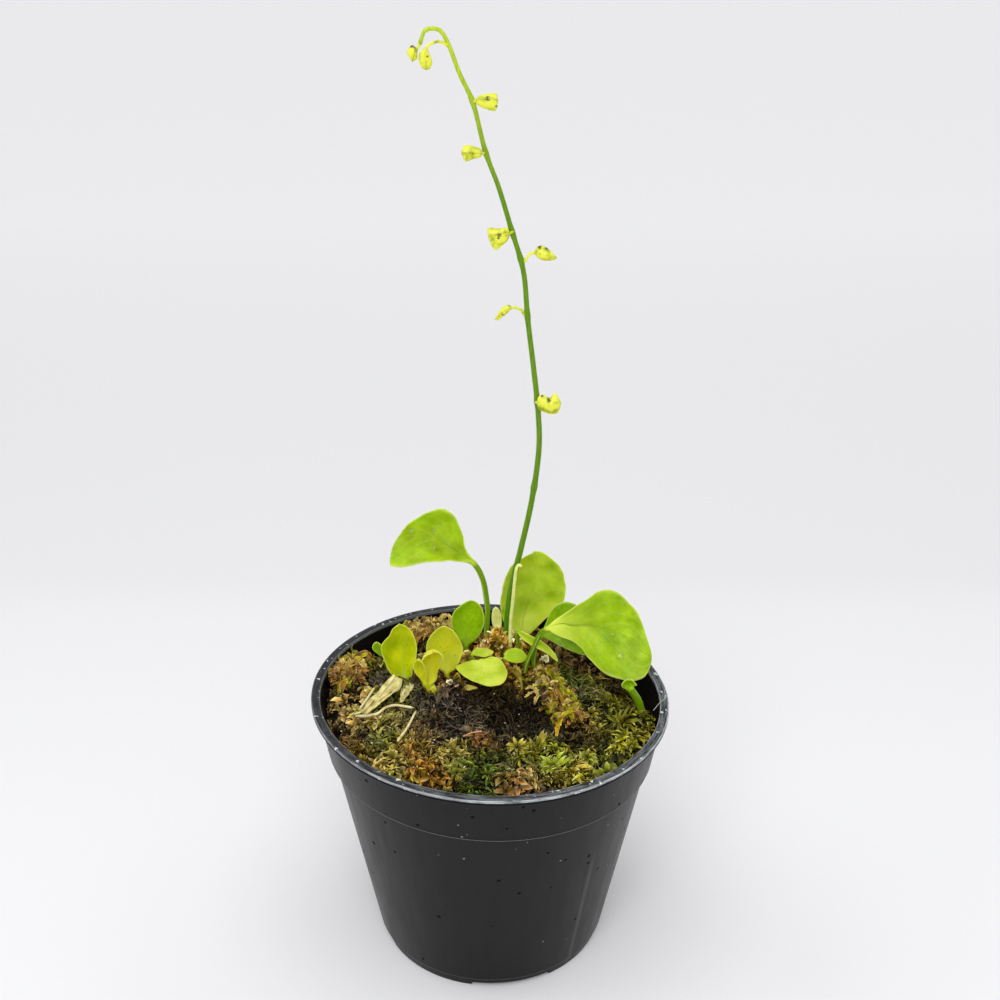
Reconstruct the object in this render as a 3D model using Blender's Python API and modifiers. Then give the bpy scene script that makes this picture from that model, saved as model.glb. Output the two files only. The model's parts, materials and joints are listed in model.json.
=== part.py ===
"""Potted bladderwort: a tuft of spoon-shaped leaves and one flower scape in a 90 mm nursery pot.

Standalone Blender 4.5 script. Sizes are written in millimetres and turned to metres by MM.
The origin is the centre of the pot's foot, +Z is up and -Y is the front of the plant.
"""

import math

import bmesh
import bpy
from mathutils import Vector, noise

MM = 0.001

# Driving dimensions of the pot, in millimetres.
RIM_R = 45.0
POT_H = 70.0
FOOT_R = 29.6
WALL_TOP_R = 43.0
WALL = 1.1
COLLAR_Z = 56.0
COLLAR_STEP = 1.1
RIM_WIDTH = 2.2
RIM_DROP = 1.2
FLOOR_UNDER_Z = 1.5
FLOOR_TOP_Z = 2.7
FOOT_WIDTH = 4.0
POT_SIDES = 64
# The thin-walled pot sits aslant of its foot: its rim rises or sinks by these, in mm for each mm of x
# and of y, and by this much all over.
SLANT_X, SLANT_Y, SAG = -0.035, 0.0135, 0.5

# Drainage of the pot.
DRAIN_COUNT = 8
DRAIN_RING_R = 19.0
DRAIN_R = 3.0
CENTRE_DRAIN_R = 4.0
NOTCH_COUNT = 4
NOTCH_WIDTH = 20.0
NOTCH_H = 1.2
NOTCH_TURN = math.radians(-79.5)

# Growing medium.
CLEARANCE = 0.3
MOSS_LEVEL = 65.2
MOSS_EDGE_Z = 60.0
MOSS_RINGS = 12
MOSS_SIDES = 48
RIPPLE = 0.9
RIPPLE_SIZE = 5.5
# (x, y, height, spread) of each swell or hollow in the top of the moss.
MOSS_SWELLS = (
    (2, 19.5, 9.0, 6.0),
    (-17, 0, 4.5, 7.0),
    (-16, 31, 1.8, 6.5),
    (-35, 8, 1.5, 5.0),
    (0, -38, 2.4, 15.0),
    (4, -7, -3.0, 6.0),
    (33, 17, -3.0, 8.0),
)

# Plant.
BURIED = 5.0
SOCKET_GAP = 0.4
BLADE_HALF_THICK = 0.35
# Share of a blade's length over which it thins from its stem.
THINNED_BY = 0.3
LAST_ROW = 0.965
STALK_R = 0.32
LYING_GAP = 0.45
CLUMP_FLATNESS = 0.62
CLUMP_ROWS = 8
CLUMP_SIDES = 10
CLUMP_ROUGHNESS = 0.2

POT_BLACK = (0.012, 0.013, 0.014, 1.0)
MOSS_OLIVE = (0.13, 0.12, 0.03, 1.0)
MOSS_TAN = (0.30, 0.19, 0.07, 1.0)
LEAF_GREEN = (0.26, 0.48, 0.02, 1.0)
YOUNG_YELLOW = (0.50, 0.55, 0.03, 1.0)
STEM_GREEN = (0.16, 0.33, 0.01, 1.0)
CALYX_YELLOW = (0.52, 0.58, 0.02, 1.0)
PALE_STRAW = (0.62, 0.58, 0.30, 1.0)
OLD_OLIVE = (0.30, 0.30, 0.05, 1.0)


# ---------------------------------------------------------------- small helpers


def clear_scene():
    for obj in list(bpy.data.objects):
        bpy.data.objects.remove(obj, do_unlink=True)


def collection(name):
    made = bpy.data.collections.new(name)
    bpy.context.scene.collection.children.link(made)
    return made


def material(name, colour, roughness):
    made = bpy.data.materials.new(name)
    made.use_nodes = True
    shader = made.node_tree.nodes["Principled BSDF"]
    shader.inputs["Base Color"].default_value = colour
    shader.inputs["Roughness"].default_value = roughness
    made.diffuse_color = colour
    return made


def mix(a, b, t):
    return a + (b - a) * t


def ease(t):
    t = min(max(t, 0.0), 1.0)
    return t * t * (3 - 2 * t)


def add_object(name, data, finish, into):
    obj = bpy.data.objects.new(name, data)
    into.objects.link(obj)
    if finish is not None:
        data.materials.append(finish)
    return obj


def add_mesh(name, bm, finish, into, smooth_deg=40.0):
    """Turns a bmesh in millimetres into an object in metres."""
    bmesh.ops.scale(bm, vec=(MM, MM, MM), verts=bm.verts)
    bmesh.ops.recalc_face_normals(bm, faces=bm.faces)
    mesh = bpy.data.meshes.new(name)
    bm.to_mesh(mesh)
    bm.free()
    mesh.shade_smooth()
    mesh.set_sharp_from_angle(angle=math.radians(smooth_deg))
    return add_object(name, mesh, finish, into)


def as_helper(obj):
    """A cutter or guide, which isn't part of the object."""
    obj.hide_render = True
    obj.display_type = "WIRE"
    return obj


def boolean(obj, other, operation="DIFFERENCE"):
    cut = obj.modifiers.new(operation.title() + "_" + other.name, "BOOLEAN")
    cut.operation = operation
    cut.object = other
    return cut


def smooth_path(points, count, before=None, after=None):
    """Evenly spaced points along a Catmull-Rom curve through points.

    before and after are unseen points that set its direction at its two ends.
    """
    knots = [Vector(p) for p in points]
    first = Vector(before) if before is not None else knots[0] * 2 - knots[1]
    last = Vector(after) if after is not None else knots[-1] * 2 - knots[-2]
    ends = [first, *knots, last]
    fine = []
    steps = 12
    for i in range(1, len(ends) - 2):
        a, b, c, d = ends[i - 1 : i + 3]
        for k in range(steps):
            t = k / steps
            bend = (2 * a - 5 * b + 4 * c - d) * t**2 + (3 * b - a - 3 * c + d) * t**3
            fine.append(0.5 * (2 * b + (c - a) * t + bend))
    fine.append(knots[-1])
    run = [0.0]
    for p, q in zip(fine, fine[1:]):
        run.append(run[-1] + (q - p).length)
    found, j = [], 0
    for k in range(count):
        goal = run[-1] * k / (count - 1)
        while j < len(run) - 2 and run[j + 1] < goal:
            j += 1
        found.append(fine[j].lerp(fine[j + 1], (goal - run[j]) / (run[j + 1] - run[j])))
    return found


def point_at(path, t):
    """The point at share t of an evenly spaced path."""
    place = min(max(t, 0.0), 1.0) * (len(path) - 1)
    k = min(int(place), len(path) - 2)
    return path[k].lerp(path[k + 1], place - k)


def direction_at(path, t):
    return (point_at(path, t + 0.02) - point_at(path, t - 0.02)).normalized()


# ---------------------------------------------------------------- lofted plant forms

# The place, lean and radius of the hole in the moss for each planted stem, noted as the stems are built.
SOCKETS = []


def loft(name, rings, finish, into):
    """A closed skin over rings of equal count."""
    bm = bmesh.new()
    rows = [[bm.verts.new(p) for p in points] for points in rings]
    for low, high in zip(rows, rows[1:]):
        for k in range(len(low)):
            j = (k + 1) % len(low)
            bm.faces.new((low[k], low[j], high[j], high[k]))
    bm.faces.new(rows[0])
    bm.faces.new(rows[-1])
    return add_mesh(name, bm, finish, into)


def round_ring(centre, along, across, radius, sides):
    """A circle about a stem, whose first point lies on the side that across names."""
    side = (across - along * across.dot(along)).normalized()
    normal = along.cross(side)
    found = []
    for k in range(sides):
        angle = 2 * math.pi * k / sides
        found.append(centre + (side * math.cos(angle) - normal * math.sin(angle)) * radius)
    return found


def on_blade(edges, s, t):
    """A point of a blade: s runs from its left edge (-1) over its rib (0) to its right edge (1)."""
    left, rib, right = (point_at(edge, t) for edge in edges)
    return rib + (right - left) * (s / 2) + ((left + right) / 2 - rib) * s * s


def blade_ring(edges, t, half_thick, sides):
    """A flat section around a blade at share t of its length."""
    found = []
    for k in range(sides):
        angle = 2 * math.pi * k / sides
        s = math.cos(angle)
        across = on_blade(edges, s + 0.05, t) - on_blade(edges, s - 0.05, t)
        along = on_blade(edges, s, t + 0.02) - on_blade(edges, s, t - 0.02)
        normal = across.cross(along).normalized()
        found.append(on_blade(edges, s, t) + normal * (half_thick * math.sin(angle)))
    return found


def spoon(name, stem, left, rib, right, tip, stem_r, thickness, finish, into, sides=8, rows=8, stem_rows=4):
    """A round stem that widens into a blade.

    stem ends at the blade's base. left, rib and right are points of the blade's two edges and its
    midrib between that base and the tip. thickness(t) is the blade's half thickness at share t.
    """
    path = smooth_path(stem, 40)
    base, along = path[-1], direction_at(path, 1.0)
    across = Vector(right[0]) - Vector(left[0])
    side = (across - along * across.dot(along)).normalized()
    before, tip = path[-8], Vector(tip)
    edges = (
        smooth_path([base - side * stem_r, *left, tip], 80, before - side * stem_r, right[-1]),
        smooth_path([base, *rib, tip], 80, before),
        smooth_path([base + side * stem_r, *right, tip], 80, before + side * stem_r, left[-1]),
    )
    rings = []
    for k in range(stem_rows):
        t = k / stem_rows
        rings.append(round_ring(point_at(path, t), direction_at(path, t), across, stem_r, sides))
    rings.append(round_ring(base, along, across, stem_r, sides))
    for k in range(1, rows + 1):
        t = LAST_ROW * k / rows
        rings.append(blade_ring(edges, t, thickness(t), sides))
    return loft(name, rings, finish, into)


def planted(foot, route, radius):
    """The route of a stem that stands in the moss at foot; it notes the hole that the moss needs for it."""
    ground = Vector((*foot, moss_height(*foot)))
    lean = (Vector(route[0]) - ground).normalized()
    SOCKETS.append((ground, lean, radius + SOCKET_GAP))
    return [ground - lean * BURIED, ground, *route]


def leaf(name, foot, stem, left, rib, right, tip, finish, into, stem_r=0.7, sides=8, rows=8, stem_rows=4):
    """A spoon leaf that stands in the moss at foot."""

    def thickness(t):
        return mix(stem_r, BLADE_HALF_THICK, ease(t / THINNED_BY))

    path = planted(foot, stem, stem_r)
    return spoon(name, path, left, rib, right, tip, stem_r, thickness, finish, into, sides, rows, stem_rows)


def calyx(name, stem, upper, middle, lower, tip, half_depth, finish, into):
    """A swollen two-lobed calyx, or a bud, on its short stalk."""

    def thickness(t):
        return max(half_depth * math.sin(math.pi * t**0.7) ** 0.6, STALK_R)

    return spoon(name, stem, upper, middle, lower, tip, STALK_R, thickness, finish, into, 8, 7, 2)


def strand(name, points, radius, finish, into, tip_radius=None, count=24):
    """A thin round stem: a bevelled curve that tapers from radius to tip_radius."""
    data = bpy.data.curves.new(name, "CURVE")
    data.dimensions = "3D"
    data.bevel_depth = radius * MM
    data.bevel_resolution = 2
    data.use_fill_caps = True
    spline = data.splines.new("POLY")
    path = smooth_path(points, count)
    spline.points.add(count - 1)
    end = 1.0 if tip_radius is None else tip_radius / radius
    for k, p in enumerate(path):
        spline.points[k].co = (*(p * MM), 1.0)
        spline.points[k].radius = mix(1.0, end, k / (count - 1))
    return add_object(name, data, finish, into)


# ---------------------------------------------------------------- pot


def wall_r(z):
    """Outer radius of the pot's wall, below the collar, at height z."""
    return mix(FOOT_R, WALL_TOP_R, z / POT_H)


def inner_r(z):
    """Inner radius of the pot at height z."""
    return wall_r(z) - (WALL if z < COLLAR_Z else 0.0)


def slant(x, y, z):
    """How far the pot is raised at (x, y, z), in millimetres: nothing at its foot, most from its collar up."""
    return min(max(z / COLLAR_Z, 0.0), 1.0) * (SLANT_X * x + SLANT_Y * y - SAG)


def pot_profile():
    """Half section, down the outer side from the rim to the foot, and back up inside."""
    collar_top = POT_H - RIM_DROP
    foot_in = FOOT_R - FOOT_WIDTH
    return [
        (RIM_R - RIM_WIDTH, POT_H - 0.3),
        (RIM_R - RIM_WIDTH + 0.4, POT_H),
        (RIM_R - 0.5, POT_H),
        (RIM_R, POT_H - 0.4),
        (RIM_R, collar_top),
        (wall_r(collar_top) + COLLAR_STEP, collar_top - 0.3),
        (wall_r(COLLAR_Z) + COLLAR_STEP, COLLAR_Z + 0.2),
        (wall_r(COLLAR_Z) + COLLAR_STEP - 0.3, COLLAR_Z),
        (wall_r(COLLAR_Z), COLLAR_Z - 0.2),
        (wall_r(1.0), 1.0),
        (FOOT_R - 0.6, 0.0),
        (foot_in, 0.0),
        (foot_in - 0.8, FLOOR_UNDER_Z),
        (0.0, FLOOR_UNDER_Z),
    ], [
        (0.0, FLOOR_TOP_Z),
        (inner_r(FLOOR_TOP_Z) - 1.5, FLOOR_TOP_Z),
        (inner_r(FLOOR_TOP_Z + 1.5), FLOOR_TOP_Z + 1.5),
        (inner_r(COLLAR_Z - 0.8), COLLAR_Z - 0.8),
        (inner_r(COLLAR_Z + 0.6), COLLAR_Z + 0.6),
        (inner_r(POT_H - 1.6), POT_H - 1.6),
    ]


def turned(name, outline, closed, sides, finish, into):
    """Revolves (radius, z) points about Z with a Screw modifier."""
    bm = bmesh.new()
    verts = [bm.verts.new((r * MM, 0, z * MM)) for r, z in outline]
    for a, b in zip(verts, verts[1:]):
        bm.edges.new((a, b))
    if closed:
        bm.edges.new((verts[-1], verts[0]))
    mesh = bpy.data.meshes.new(name)
    bm.to_mesh(mesh)
    bm.free()
    obj = add_object(name, mesh, finish, into)
    screw = obj.modifiers.new("Turn", "SCREW")
    screw.axis = "Z"
    screw.steps = screw.render_steps = sides
    screw.use_merge_vertices = True
    screw.merge_threshold = 0.00001
    screw.use_smooth_shade = True
    return obj


def turned_mesh(name, outline, closed, sides, into):
    """The plain mesh of a turned outline."""
    guide = turned("guide", outline, closed, sides, None, into)
    graph = bpy.context.evaluated_depsgraph_get()
    mesh = bpy.data.meshes.new_from_object(guide.evaluated_get(graph))
    bpy.data.objects.remove(guide)
    mesh.name = name
    return mesh


def drill(name, x, y, radius, low, high, into):
    bm = bmesh.new()
    bmesh.ops.create_cone(
        bm, cap_ends=True, segments=16, radius1=radius * MM, radius2=radius * MM, depth=(high - low) * MM
    )
    mesh = bpy.data.meshes.new(name)
    bm.to_mesh(mesh)
    bm.free()
    obj = add_object(name, mesh, None, into)
    obj.location = (x * MM, y * MM, (low + high) / 2 * MM)
    return as_helper(obj)


def foot_notch(name, turn, into):
    """A box that cuts one low drain slot through the foot ring."""
    bm = bmesh.new()
    bmesh.ops.create_cube(bm, size=1.0)
    length = FOOT_WIDTH + 8
    bmesh.ops.scale(bm, vec=(length * MM, NOTCH_WIDTH * MM, 2 * NOTCH_H * MM), verts=bm.verts)
    mesh = bpy.data.meshes.new(name)
    bm.to_mesh(mesh)
    bm.free()
    obj = add_object(name, mesh, None, into)
    reach = (FOOT_R - FOOT_WIDTH / 2) * MM
    obj.location = (reach * math.cos(turn), reach * math.sin(turn), 0)
    obj.rotation_euler = (0, 0, turn)
    return as_helper(obj)


def nursery_pot(finish, into, cutters):
    outer, inner = pot_profile()
    mesh = turned_mesh("nursery_pot", outer + inner, True, POT_SIDES, cutters)
    for vert in mesh.vertices:
        vert.co.z += slant(*(vert.co / MM)) * MM
    pot = add_object("nursery_pot", mesh, finish, into)
    holes = [(0.0, 0.0, CENTRE_DRAIN_R)]
    for k in range(DRAIN_COUNT):
        turn = 2 * math.pi * (k + 0.5) / DRAIN_COUNT
        holes.append((DRAIN_RING_R * math.cos(turn), DRAIN_RING_R * math.sin(turn), DRAIN_R))
    for k, (x, y, radius) in enumerate(holes):
        boolean(pot, drill(f"drain_cutter_{k}", x, y, radius, -1.0, FLOOR_TOP_Z + 1.0, cutters))
    for k in range(NOTCH_COUNT):
        turn = NOTCH_TURN + 2 * math.pi * k / NOTCH_COUNT
        boolean(pot, foot_notch(f"notch_cutter_{k}", turn, cutters))
    return pot


# ---------------------------------------------------------------- moss


def moss_height(x, y):
    """Height of the top of the moss at (x, y), in millimetres."""
    z = MOSS_LEVEL
    for cx, cy, rise, spread in MOSS_SWELLS:
        z += rise * math.exp(-((x - cx) ** 2 + (y - cy) ** 2) / (2 * spread**2))
    z += RIPPLE * noise.noise(Vector((x / RIPPLE_SIZE, y / RIPPLE_SIZE, 0.5)))
    return z


def moss_bed(finish, into, cutters):
    """The moss that fills the pot: a turned plug whose top is lifted to moss_height."""
    edge = inner_r(MOSS_EDGE_Z) - CLEARANCE
    outline = [(0.0, MOSS_EDGE_Z)]
    outline += [(edge * k / MOSS_RINGS, MOSS_EDGE_Z) for k in range(1, MOSS_RINGS + 1)]
    outline += [
        (inner_r(COLLAR_Z + 0.6) - CLEARANCE, COLLAR_Z + 0.6),
        (inner_r(COLLAR_Z - 0.9) - CLEARANCE, COLLAR_Z - 0.9),
        (inner_r(30.0) - CLEARANCE, 30.0),
        (inner_r(FLOOR_TOP_Z + 1.6) - CLEARANCE, FLOOR_TOP_Z + 1.6),
        (inner_r(FLOOR_TOP_Z) - 1.9, FLOOR_TOP_Z + CLEARANCE),
        (0.0, FLOOR_TOP_Z + CLEARANCE),
    ]
    mesh = turned_mesh("moss_bed", outline, False, MOSS_SIDES, cutters)
    for vert in mesh.vertices:
        x, y, z = vert.co / MM
        if z < MOSS_EDGE_Z - 0.1:
            vert.co.z += slant(x, y, z) * MM
        elif math.hypot(x, y) < 0.99 * edge:
            vert.co.z = moss_height(x, y) * MM
        else:
            top = moss_height(x, y)
            grow = (inner_r(top) - CLEARANCE) / edge
            vert.co = Vector((x * grow, y * grow, top + slant(x, y, top))) * MM
    bed = add_object("moss_bed", mesh, finish, into)
    for k, (ground, lean, radius) in enumerate(SOCKETS):
        boolean(bed, socket_cutter(f"socket_cutter_{k}", ground, lean, radius, cutters))
    return bed


def socket_cutter(name, ground, lean, radius, into):
    """A round hole in the moss for one buried stem."""
    deep, proud = BURIED + SOCKET_GAP, 4.0
    bm = bmesh.new()
    bmesh.ops.create_cone(
        bm, cap_ends=True, segments=10, radius1=radius * MM, radius2=radius * MM, depth=(deep + proud) * MM
    )
    mesh = bpy.data.meshes.new(name)
    bm.to_mesh(mesh)
    bm.free()
    obj = add_object(name, mesh, None, into)
    obj.rotation_mode = "QUATERNION"
    obj.rotation_quaternion = lean.to_track_quat("Z", "Y")
    obj.location = (ground + lean * ((proud - deep) / 2)) * MM
    return as_helper(obj)


# ---------------------------------------------------------------- plant

# Foot in the moss, stem up to the blade, left edge, rib, right edge and tip of each spoon leaf, its
# stem's radius, its finish, and the sides and rows of its skin.
LEAVES = {
    "tall_spoon_leaf": dict(
        foot=(-1.3, 21.5),
        stem=[
            (-1.1, 21.6, 77),
            (-0.9, 21.8, 81),
            (-1.3, 22, 84.7),
            (-1.8, 22, 88.3),
            (-3, 22, 92),
            (-4.5, 22, 94.4),
        ],
        left=[(-7.5, 19.8, 95.8), (-12, 18.4, 96.6), (-18, 17, 97), (-22.4, 16.6, 96.2), (-25, 17.4, 96.6)],
        rib=[(-8, 23, 96.6), (-11, 23.6, 98.6), (-14, 23.6, 100.4), (-18, 23, 101.6), (-22.5, 21.4, 101)],
        right=[
            (-5.8, 21.8, 97),
            (-7.2, 22, 101),
            (-8.2, 22.2, 105.4),
            (-10, 22.5, 108.6),
            (-13, 23, 109.4),
            (-18.2, 23, 107.4),
            (-22.4, 22.4, 104),
            (-25, 21, 100.5),
        ],
        tip=(-25.8, 19, 98),
        stem_r=0.75,
        finish="leaf",
        sides=10,
        rows=11,
        stem_rows=8,
    ),
    "back_leaf": dict(
        foot=(8.0, 25.8),
        stem=[(8.1, 26, 67.8), (8.4, 26.4, 69)],
        left=[
            (5, 25, 72),
            (2.4, 25, 76),
            (1.7, 25, 81),
            (1.9, 25.4, 84),
            (2.7, 26, 87.6),
            (4.8, 26.8, 91.6),
            (7.9, 27.5, 94),
        ],
        rib=[(8.6, 28, 74), (9.6, 28.6, 78), (11, 29, 83), (12.4, 28.6, 89)],
        right=[
            (11.4, 26.5, 71.6),
            (14, 26.5, 74.5),
            (17.5, 26.5, 78),
            (19.7, 26.5, 81),
            (20, 26.5, 84.6),
            (19.4, 26.8, 88.5),
            (17.7, 27, 91.6),
            (15, 27.6, 93.9),
        ],
        tip=(11.4, 28, 95),
        stem_r=0.9,
        finish="leaf",
        sides=10,
        rows=11,
        stem_rows=2,
    ),
    "broad_right_leaf": dict(
        foot=(9, 12.2),
        stem=[
            (9.2, 11.8, 69.4),
            (9.9, 11, 72.4),
            (10.9, 10, 75.6),
            (11.9, 9.2, 78.8),
            (12.9, 8.6, 81.4),
            (14.4, 8.2, 82.6),
        ],
        left=[
            (17.4, 9.4, 85.2),
            (21.4, 10.4, 87.8),
            (24.8, 11.2, 89.8),
            (27.1, 12, 91.3),
            (29.7, 12.3, 91.8),
            (32, 12.2, 91.2),
            (34.3, 11.8, 89.5),
            (37.7, 10.4, 85.7),
            (40, 8, 80),
        ],
        rib=[(18, 9, 83.6), (21, 9.2, 83), (26, 9.6, 82.6), (33.6, 8.6, 80.2), (38, 6.4, 77.4)],
        right=[
            (16.2, 6.6, 82),
            (18.4, 6.2, 81.1),
            (20.4, 5.6, 80.5),
            (22.6, 5, 79.2),
            (24.8, 4.4, 76.2),
            (27.1, 3.6, 73.9),
            (30, 2.8, 72),
            (34, 2.4, 70.9),
            (37, 2.2, 70.9),
            (39.6, 2.8, 72.2),
        ],
        tip=(41.1, 5, 75.9),
        stem_r=0.6,
        finish="leaf",
        sides=10,
        rows=12,
        stem_rows=7,
    ),
    "under_right_leaf": dict(
        foot=(11.2, 14.6),
        stem=[(11.2, 14.4, 70), (11.8, 14, 74), (13.2, 13.8, 77)],
        left=[(14.2, 14.2, 80.6), (15.6, 14.6, 84.4), (17.5, 15.2, 86), (20.2, 15.6, 86.4), (24, 15.4, 84)],
        rib=[(17, 13.5, 79.5), (21.5, 13, 79)],
        right=[(15.4, 12.4, 76.8), (18.2, 11.4, 75.6), (21.2, 10.8, 74.4), (25, 10.6, 73.6)],
        tip=(28.5, 12.5, 77.5),
        stem_r=0.6,
        finish="leaf",
        sides=10,
        rows=9,
    ),
    "folded_leaf": dict(
        foot=(7.4, 16.4),
        stem=[(7.3, 16, 73), (6.9, 14.8, 77), (7.2, 13.2, 79)],
        left=[(9.7, 12.2, 78.6), (12.9, 11.5, 77.1), (15.1, 11.2, 75.4), (16.8, 10.7, 73.7)],
        rib=[(9.4, 12.8, 77.4), (12.2, 12.1, 76), (14.6, 11.3, 74.5)],
        right=[(8.2, 11.6, 77.6), (10, 11, 76.6), (12.2, 10.5, 75.5), (14.7, 10.1, 74.1)],
        tip=(17.4, 9.8, 71.8),
        stem_r=0.45,
        finish="leaf",
    ),
    "uncurling_shoot": dict(
        foot=(38.2, -1),
        stem=[(37.4, -1, 67), (36.2, -1, 69), (35.2, -1, 70.6)],
        left=[(33.4, -1.8, 72)],
        rib=[(34.9, 0, 71.8)],
        right=[(36.4, -1.6, 71.6)],
        tip=(34.9, -1.2, 73),
        stem_r=0.95,
        finish="leaf",
        rows=5,
    ),
    "rear_round_leaf": dict(
        foot=(-6.6, 19.6),
        stem=[(-6.6, 19.7, 70), (-6.6, 19.8, 71)],
        left=[(-8.4, 19.6, 73.4), (-9.9, 19.4, 76.4), (-10.5, 19.4, 79.4), (-9.2, 19.8, 82)],
        rib=[(-6.4, 20.8, 74.4), (-6.1, 21.5, 77.4), (-5.8, 21.7, 80.6)],
        right=[(-4.6, 19.8, 73), (-3.1, 19.5, 75), (-1.8, 19.2, 78), (-1.9, 19.4, 81.2), (-2.9, 20, 83.1)],
        tip=(-5.4, 21, 83.8),
        stem_r=0.7,
        finish="leaf",
        rows=9,
    ),
    "round_left_leaf": dict(
        foot=(-21.4, 5.2),
        stem=[(-21.6, 5.1, 69), (-21.7, 5, 69.6)],
        left=[
            (-24, 4.4, 71.2),
            (-26.2, 3.4, 75),
            (-27.6, 2.8, 78.4),
            (-28.2, 2.8, 80.6),
            (-27.6, 3.6, 82),
            (-26.3, 4.8, 83),
            (-25.6, 5.6, 84),
            (-24.6, 6.4, 84.6),
        ],
        rib=[(-22, 6.2, 71.6), (-22.8, 7.2, 74.4), (-23.3, 7.8, 78.4), (-23.2, 7.8, 81.6)],
        right=[
            (-20.2, 4.6, 70.6),
            (-19.4, 4.6, 73.6),
            (-18.6, 5, 76.6),
            (-18.5, 5.4, 79.2),
            (-19.2, 6, 81.8),
            (-20.2, 6.4, 83.4),
            (-21.6, 6.8, 84.5),
        ],
        tip=(-23.2, 7, 84.7),
        stem_r=0.7,
        finish="young",
        sides=10,
        rows=11,
    ),
    "round_middle_leaf": dict(
        foot=(-11.4, 10.2),
        stem=[(-11.4, 10.1, 67.8), (-11.4, 10, 68.4)],
        left=[
            (-12.6, 9.6, 69.2),
            (-14.7, 9, 71.4),
            (-16.3, 8.8, 74.1),
            (-16.8, 8.8, 76.6),
            (-16.4, 9.2, 78.7),
            (-15.2, 10, 80.4),
            (-13.8, 10.8, 81.3),
        ],
        rib=[(-11.7, 10.9, 70.4), (-11.9, 11.8, 73.2), (-12.1, 12.2, 77)],
        right=[
            (-10, 9.6, 69.6),
            (-8.2, 9, 72.2),
            (-7.1, 9, 75),
            (-7.2, 9.2, 77.1),
            (-8, 9.8, 79.1),
            (-9.2, 10.4, 80.6),
            (-10.6, 11, 81.4),
        ],
        tip=(-12.2, 11.2, 81.7),
        stem_r=0.7,
        finish="young",
        sides=10,
        rows=10,
    ),
    "trumpet_leaf": dict(
        foot=(-15.4, 0.6),
        stem=[(-15.8, 0.6, 69.8), (-16, 0.5, 70.3)],
        left=[(-18.3, 0.2, 72), (-19.4, -0.4, 74.7), (-19.2, -1, 77.3), (-18, -1.5, 79.8), (-16.4, -1, 81)],
        rib=[(-16.6, 1.6, 73.6), (-16.6, 2.8, 76), (-15.6, 2.6, 79)],
        right=[
            (-13.7, 0.2, 72),
            (-13.4, 0.2, 74.2),
            (-12.6, -0.2, 76.2),
            (-11.6, -0.6, 78),
            (-11.4, -0.4, 79.5),
            (-12.6, 0, 80.8),
        ],
        tip=(-14.7, 0, 81.3),
        stem_r=1.1,
        finish="young",
        rows=9,
    ),
    "hidden_left_leaf": dict(
        foot=(-26.6, 9),
        stem=[(-26.9, 8.8, 70), (-27.8, 8.6, 73)],
        left=[(-29.6, 8, 75), (-30.5, 8, 77)],
        rib=[(-29.1, 8.7, 76)],
        right=[(-27.8, 8, 76)],
        tip=(-29.2, 8.3, 78.7),
        stem_r=0.5,
        finish="leaf",
        rows=6,
    ),
    "centre_leaf": dict(
        foot=(-2.4, 10.2),
        stem=[(-2.5, 11, 69.4), (-2.6, 11.4, 70.8), (-2.4, 10.9, 71.6)],
        left=[
            (-5, 10.4, 72),
            (-7.6, 9, 71.8),
            (-9.1, 7.2, 71.7),
            (-7.6, 5.2, 71.2),
            (-5.4, 3.2, 70.7),
            (-2.7, 1.6, 70.3),
        ],
        rib=[(-2.4, 8.4, 71.1), (-1.6, 4.6, 70.6)],
        right=[(0, 11, 72.7), (2.1, 10.2, 72.7), (3.5, 8.4, 71.9), (4.3, 5, 71.3), (3.2, 2.2, 70.3)],
        tip=(0.1, 0.6, 70.1),
        stem_r=0.6,
        finish="leaf",
        sides=10,
        rows=10,
    ),
    "nodding_leaflet": dict(
        foot=(-5.2, 13.4),
        stem=[(-5.1, 13.3, 70.2), (-4.9, 13.2, 72)],
        left=[(-4, 14, 73.2), (-1.6, 14, 73.4)],
        rib=[(-3, 13.1, 72.7), (-1, 12.9, 72.6)],
        right=[(-3.4, 12.3, 72), (-1.2, 12.1, 71.9)],
        tip=(0.8, 13, 72.9),
        stem_r=0.45,
        finish="leaf",
        rows=6,
    ),
    "right_leaflet": dict(
        foot=(3.4, 12.4),
        stem=[(3.4, 12.3, 70.7), (3.6, 12.2, 71.4)],
        left=[(3.6, 13.6, 72.4), (4.8, 14, 73.2), (6.6, 14.2, 73.4), (8.2, 13.9, 72.9)],
        rib=[(5, 12.6, 71.9), (7.2, 12.5, 71.8)],
        right=[(5, 10.9, 71.2), (7, 11, 70.8), (8.6, 11.8, 70.8)],
        tip=(9.4, 13, 71.7),
        stem_r=0.5,
        finish="leaf",
        rows=7,
    ),
    "pale_sheath": dict(
        foot=(1.7, 22.5),
        stem=[(1.7, 22.5, 74), (1.7, 22.5, 74.4)],
        left=[(0.6, 22.4, 75.6), (0.5, 22.4, 77.6), (0.9, 22.4, 79.4)],
        rib=[(1.6, 22.9, 76), (1.5, 22.9, 78.5)],
        right=[(2.7, 22.4, 75.6), (2.6, 22.4, 77.6), (2.1, 22.4, 79.6)],
        tip=(1.4, 22.5, 81),
        stem_r=0.6,
        finish="straw",
        rows=6,
        stem_rows=2,
    ),
    "withered_leaf": dict(
        foot=(-30.6, -4.6),
        stem=[(-30.3, -4, 67.6), (-29.8, -3.2, 68.8)],
        left=[(-28.6, -1.6, 71.2), (-26.2, 0.2, 73.2)],
        rib=[(-27.8, -2, 70.2), (-25, 0.4, 72.4)],
        right=[(-27, -3.2, 69.3), (-24.4, -1.6, 70.6), (-22.2, 0, 72.2)],
        tip=(-22.8, 1.6, 74.4),
        stem_r=0.45,
        finish="straw",
        rows=7,
    ),
    "old_left_leaflet": dict(
        foot=(-8.6, 4.2),
        stem=[(-8.6, 4.1, 68), (-8.6, 4, 68.8)],
        left=[(-9.4, 3.6, 70.4)],
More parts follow.
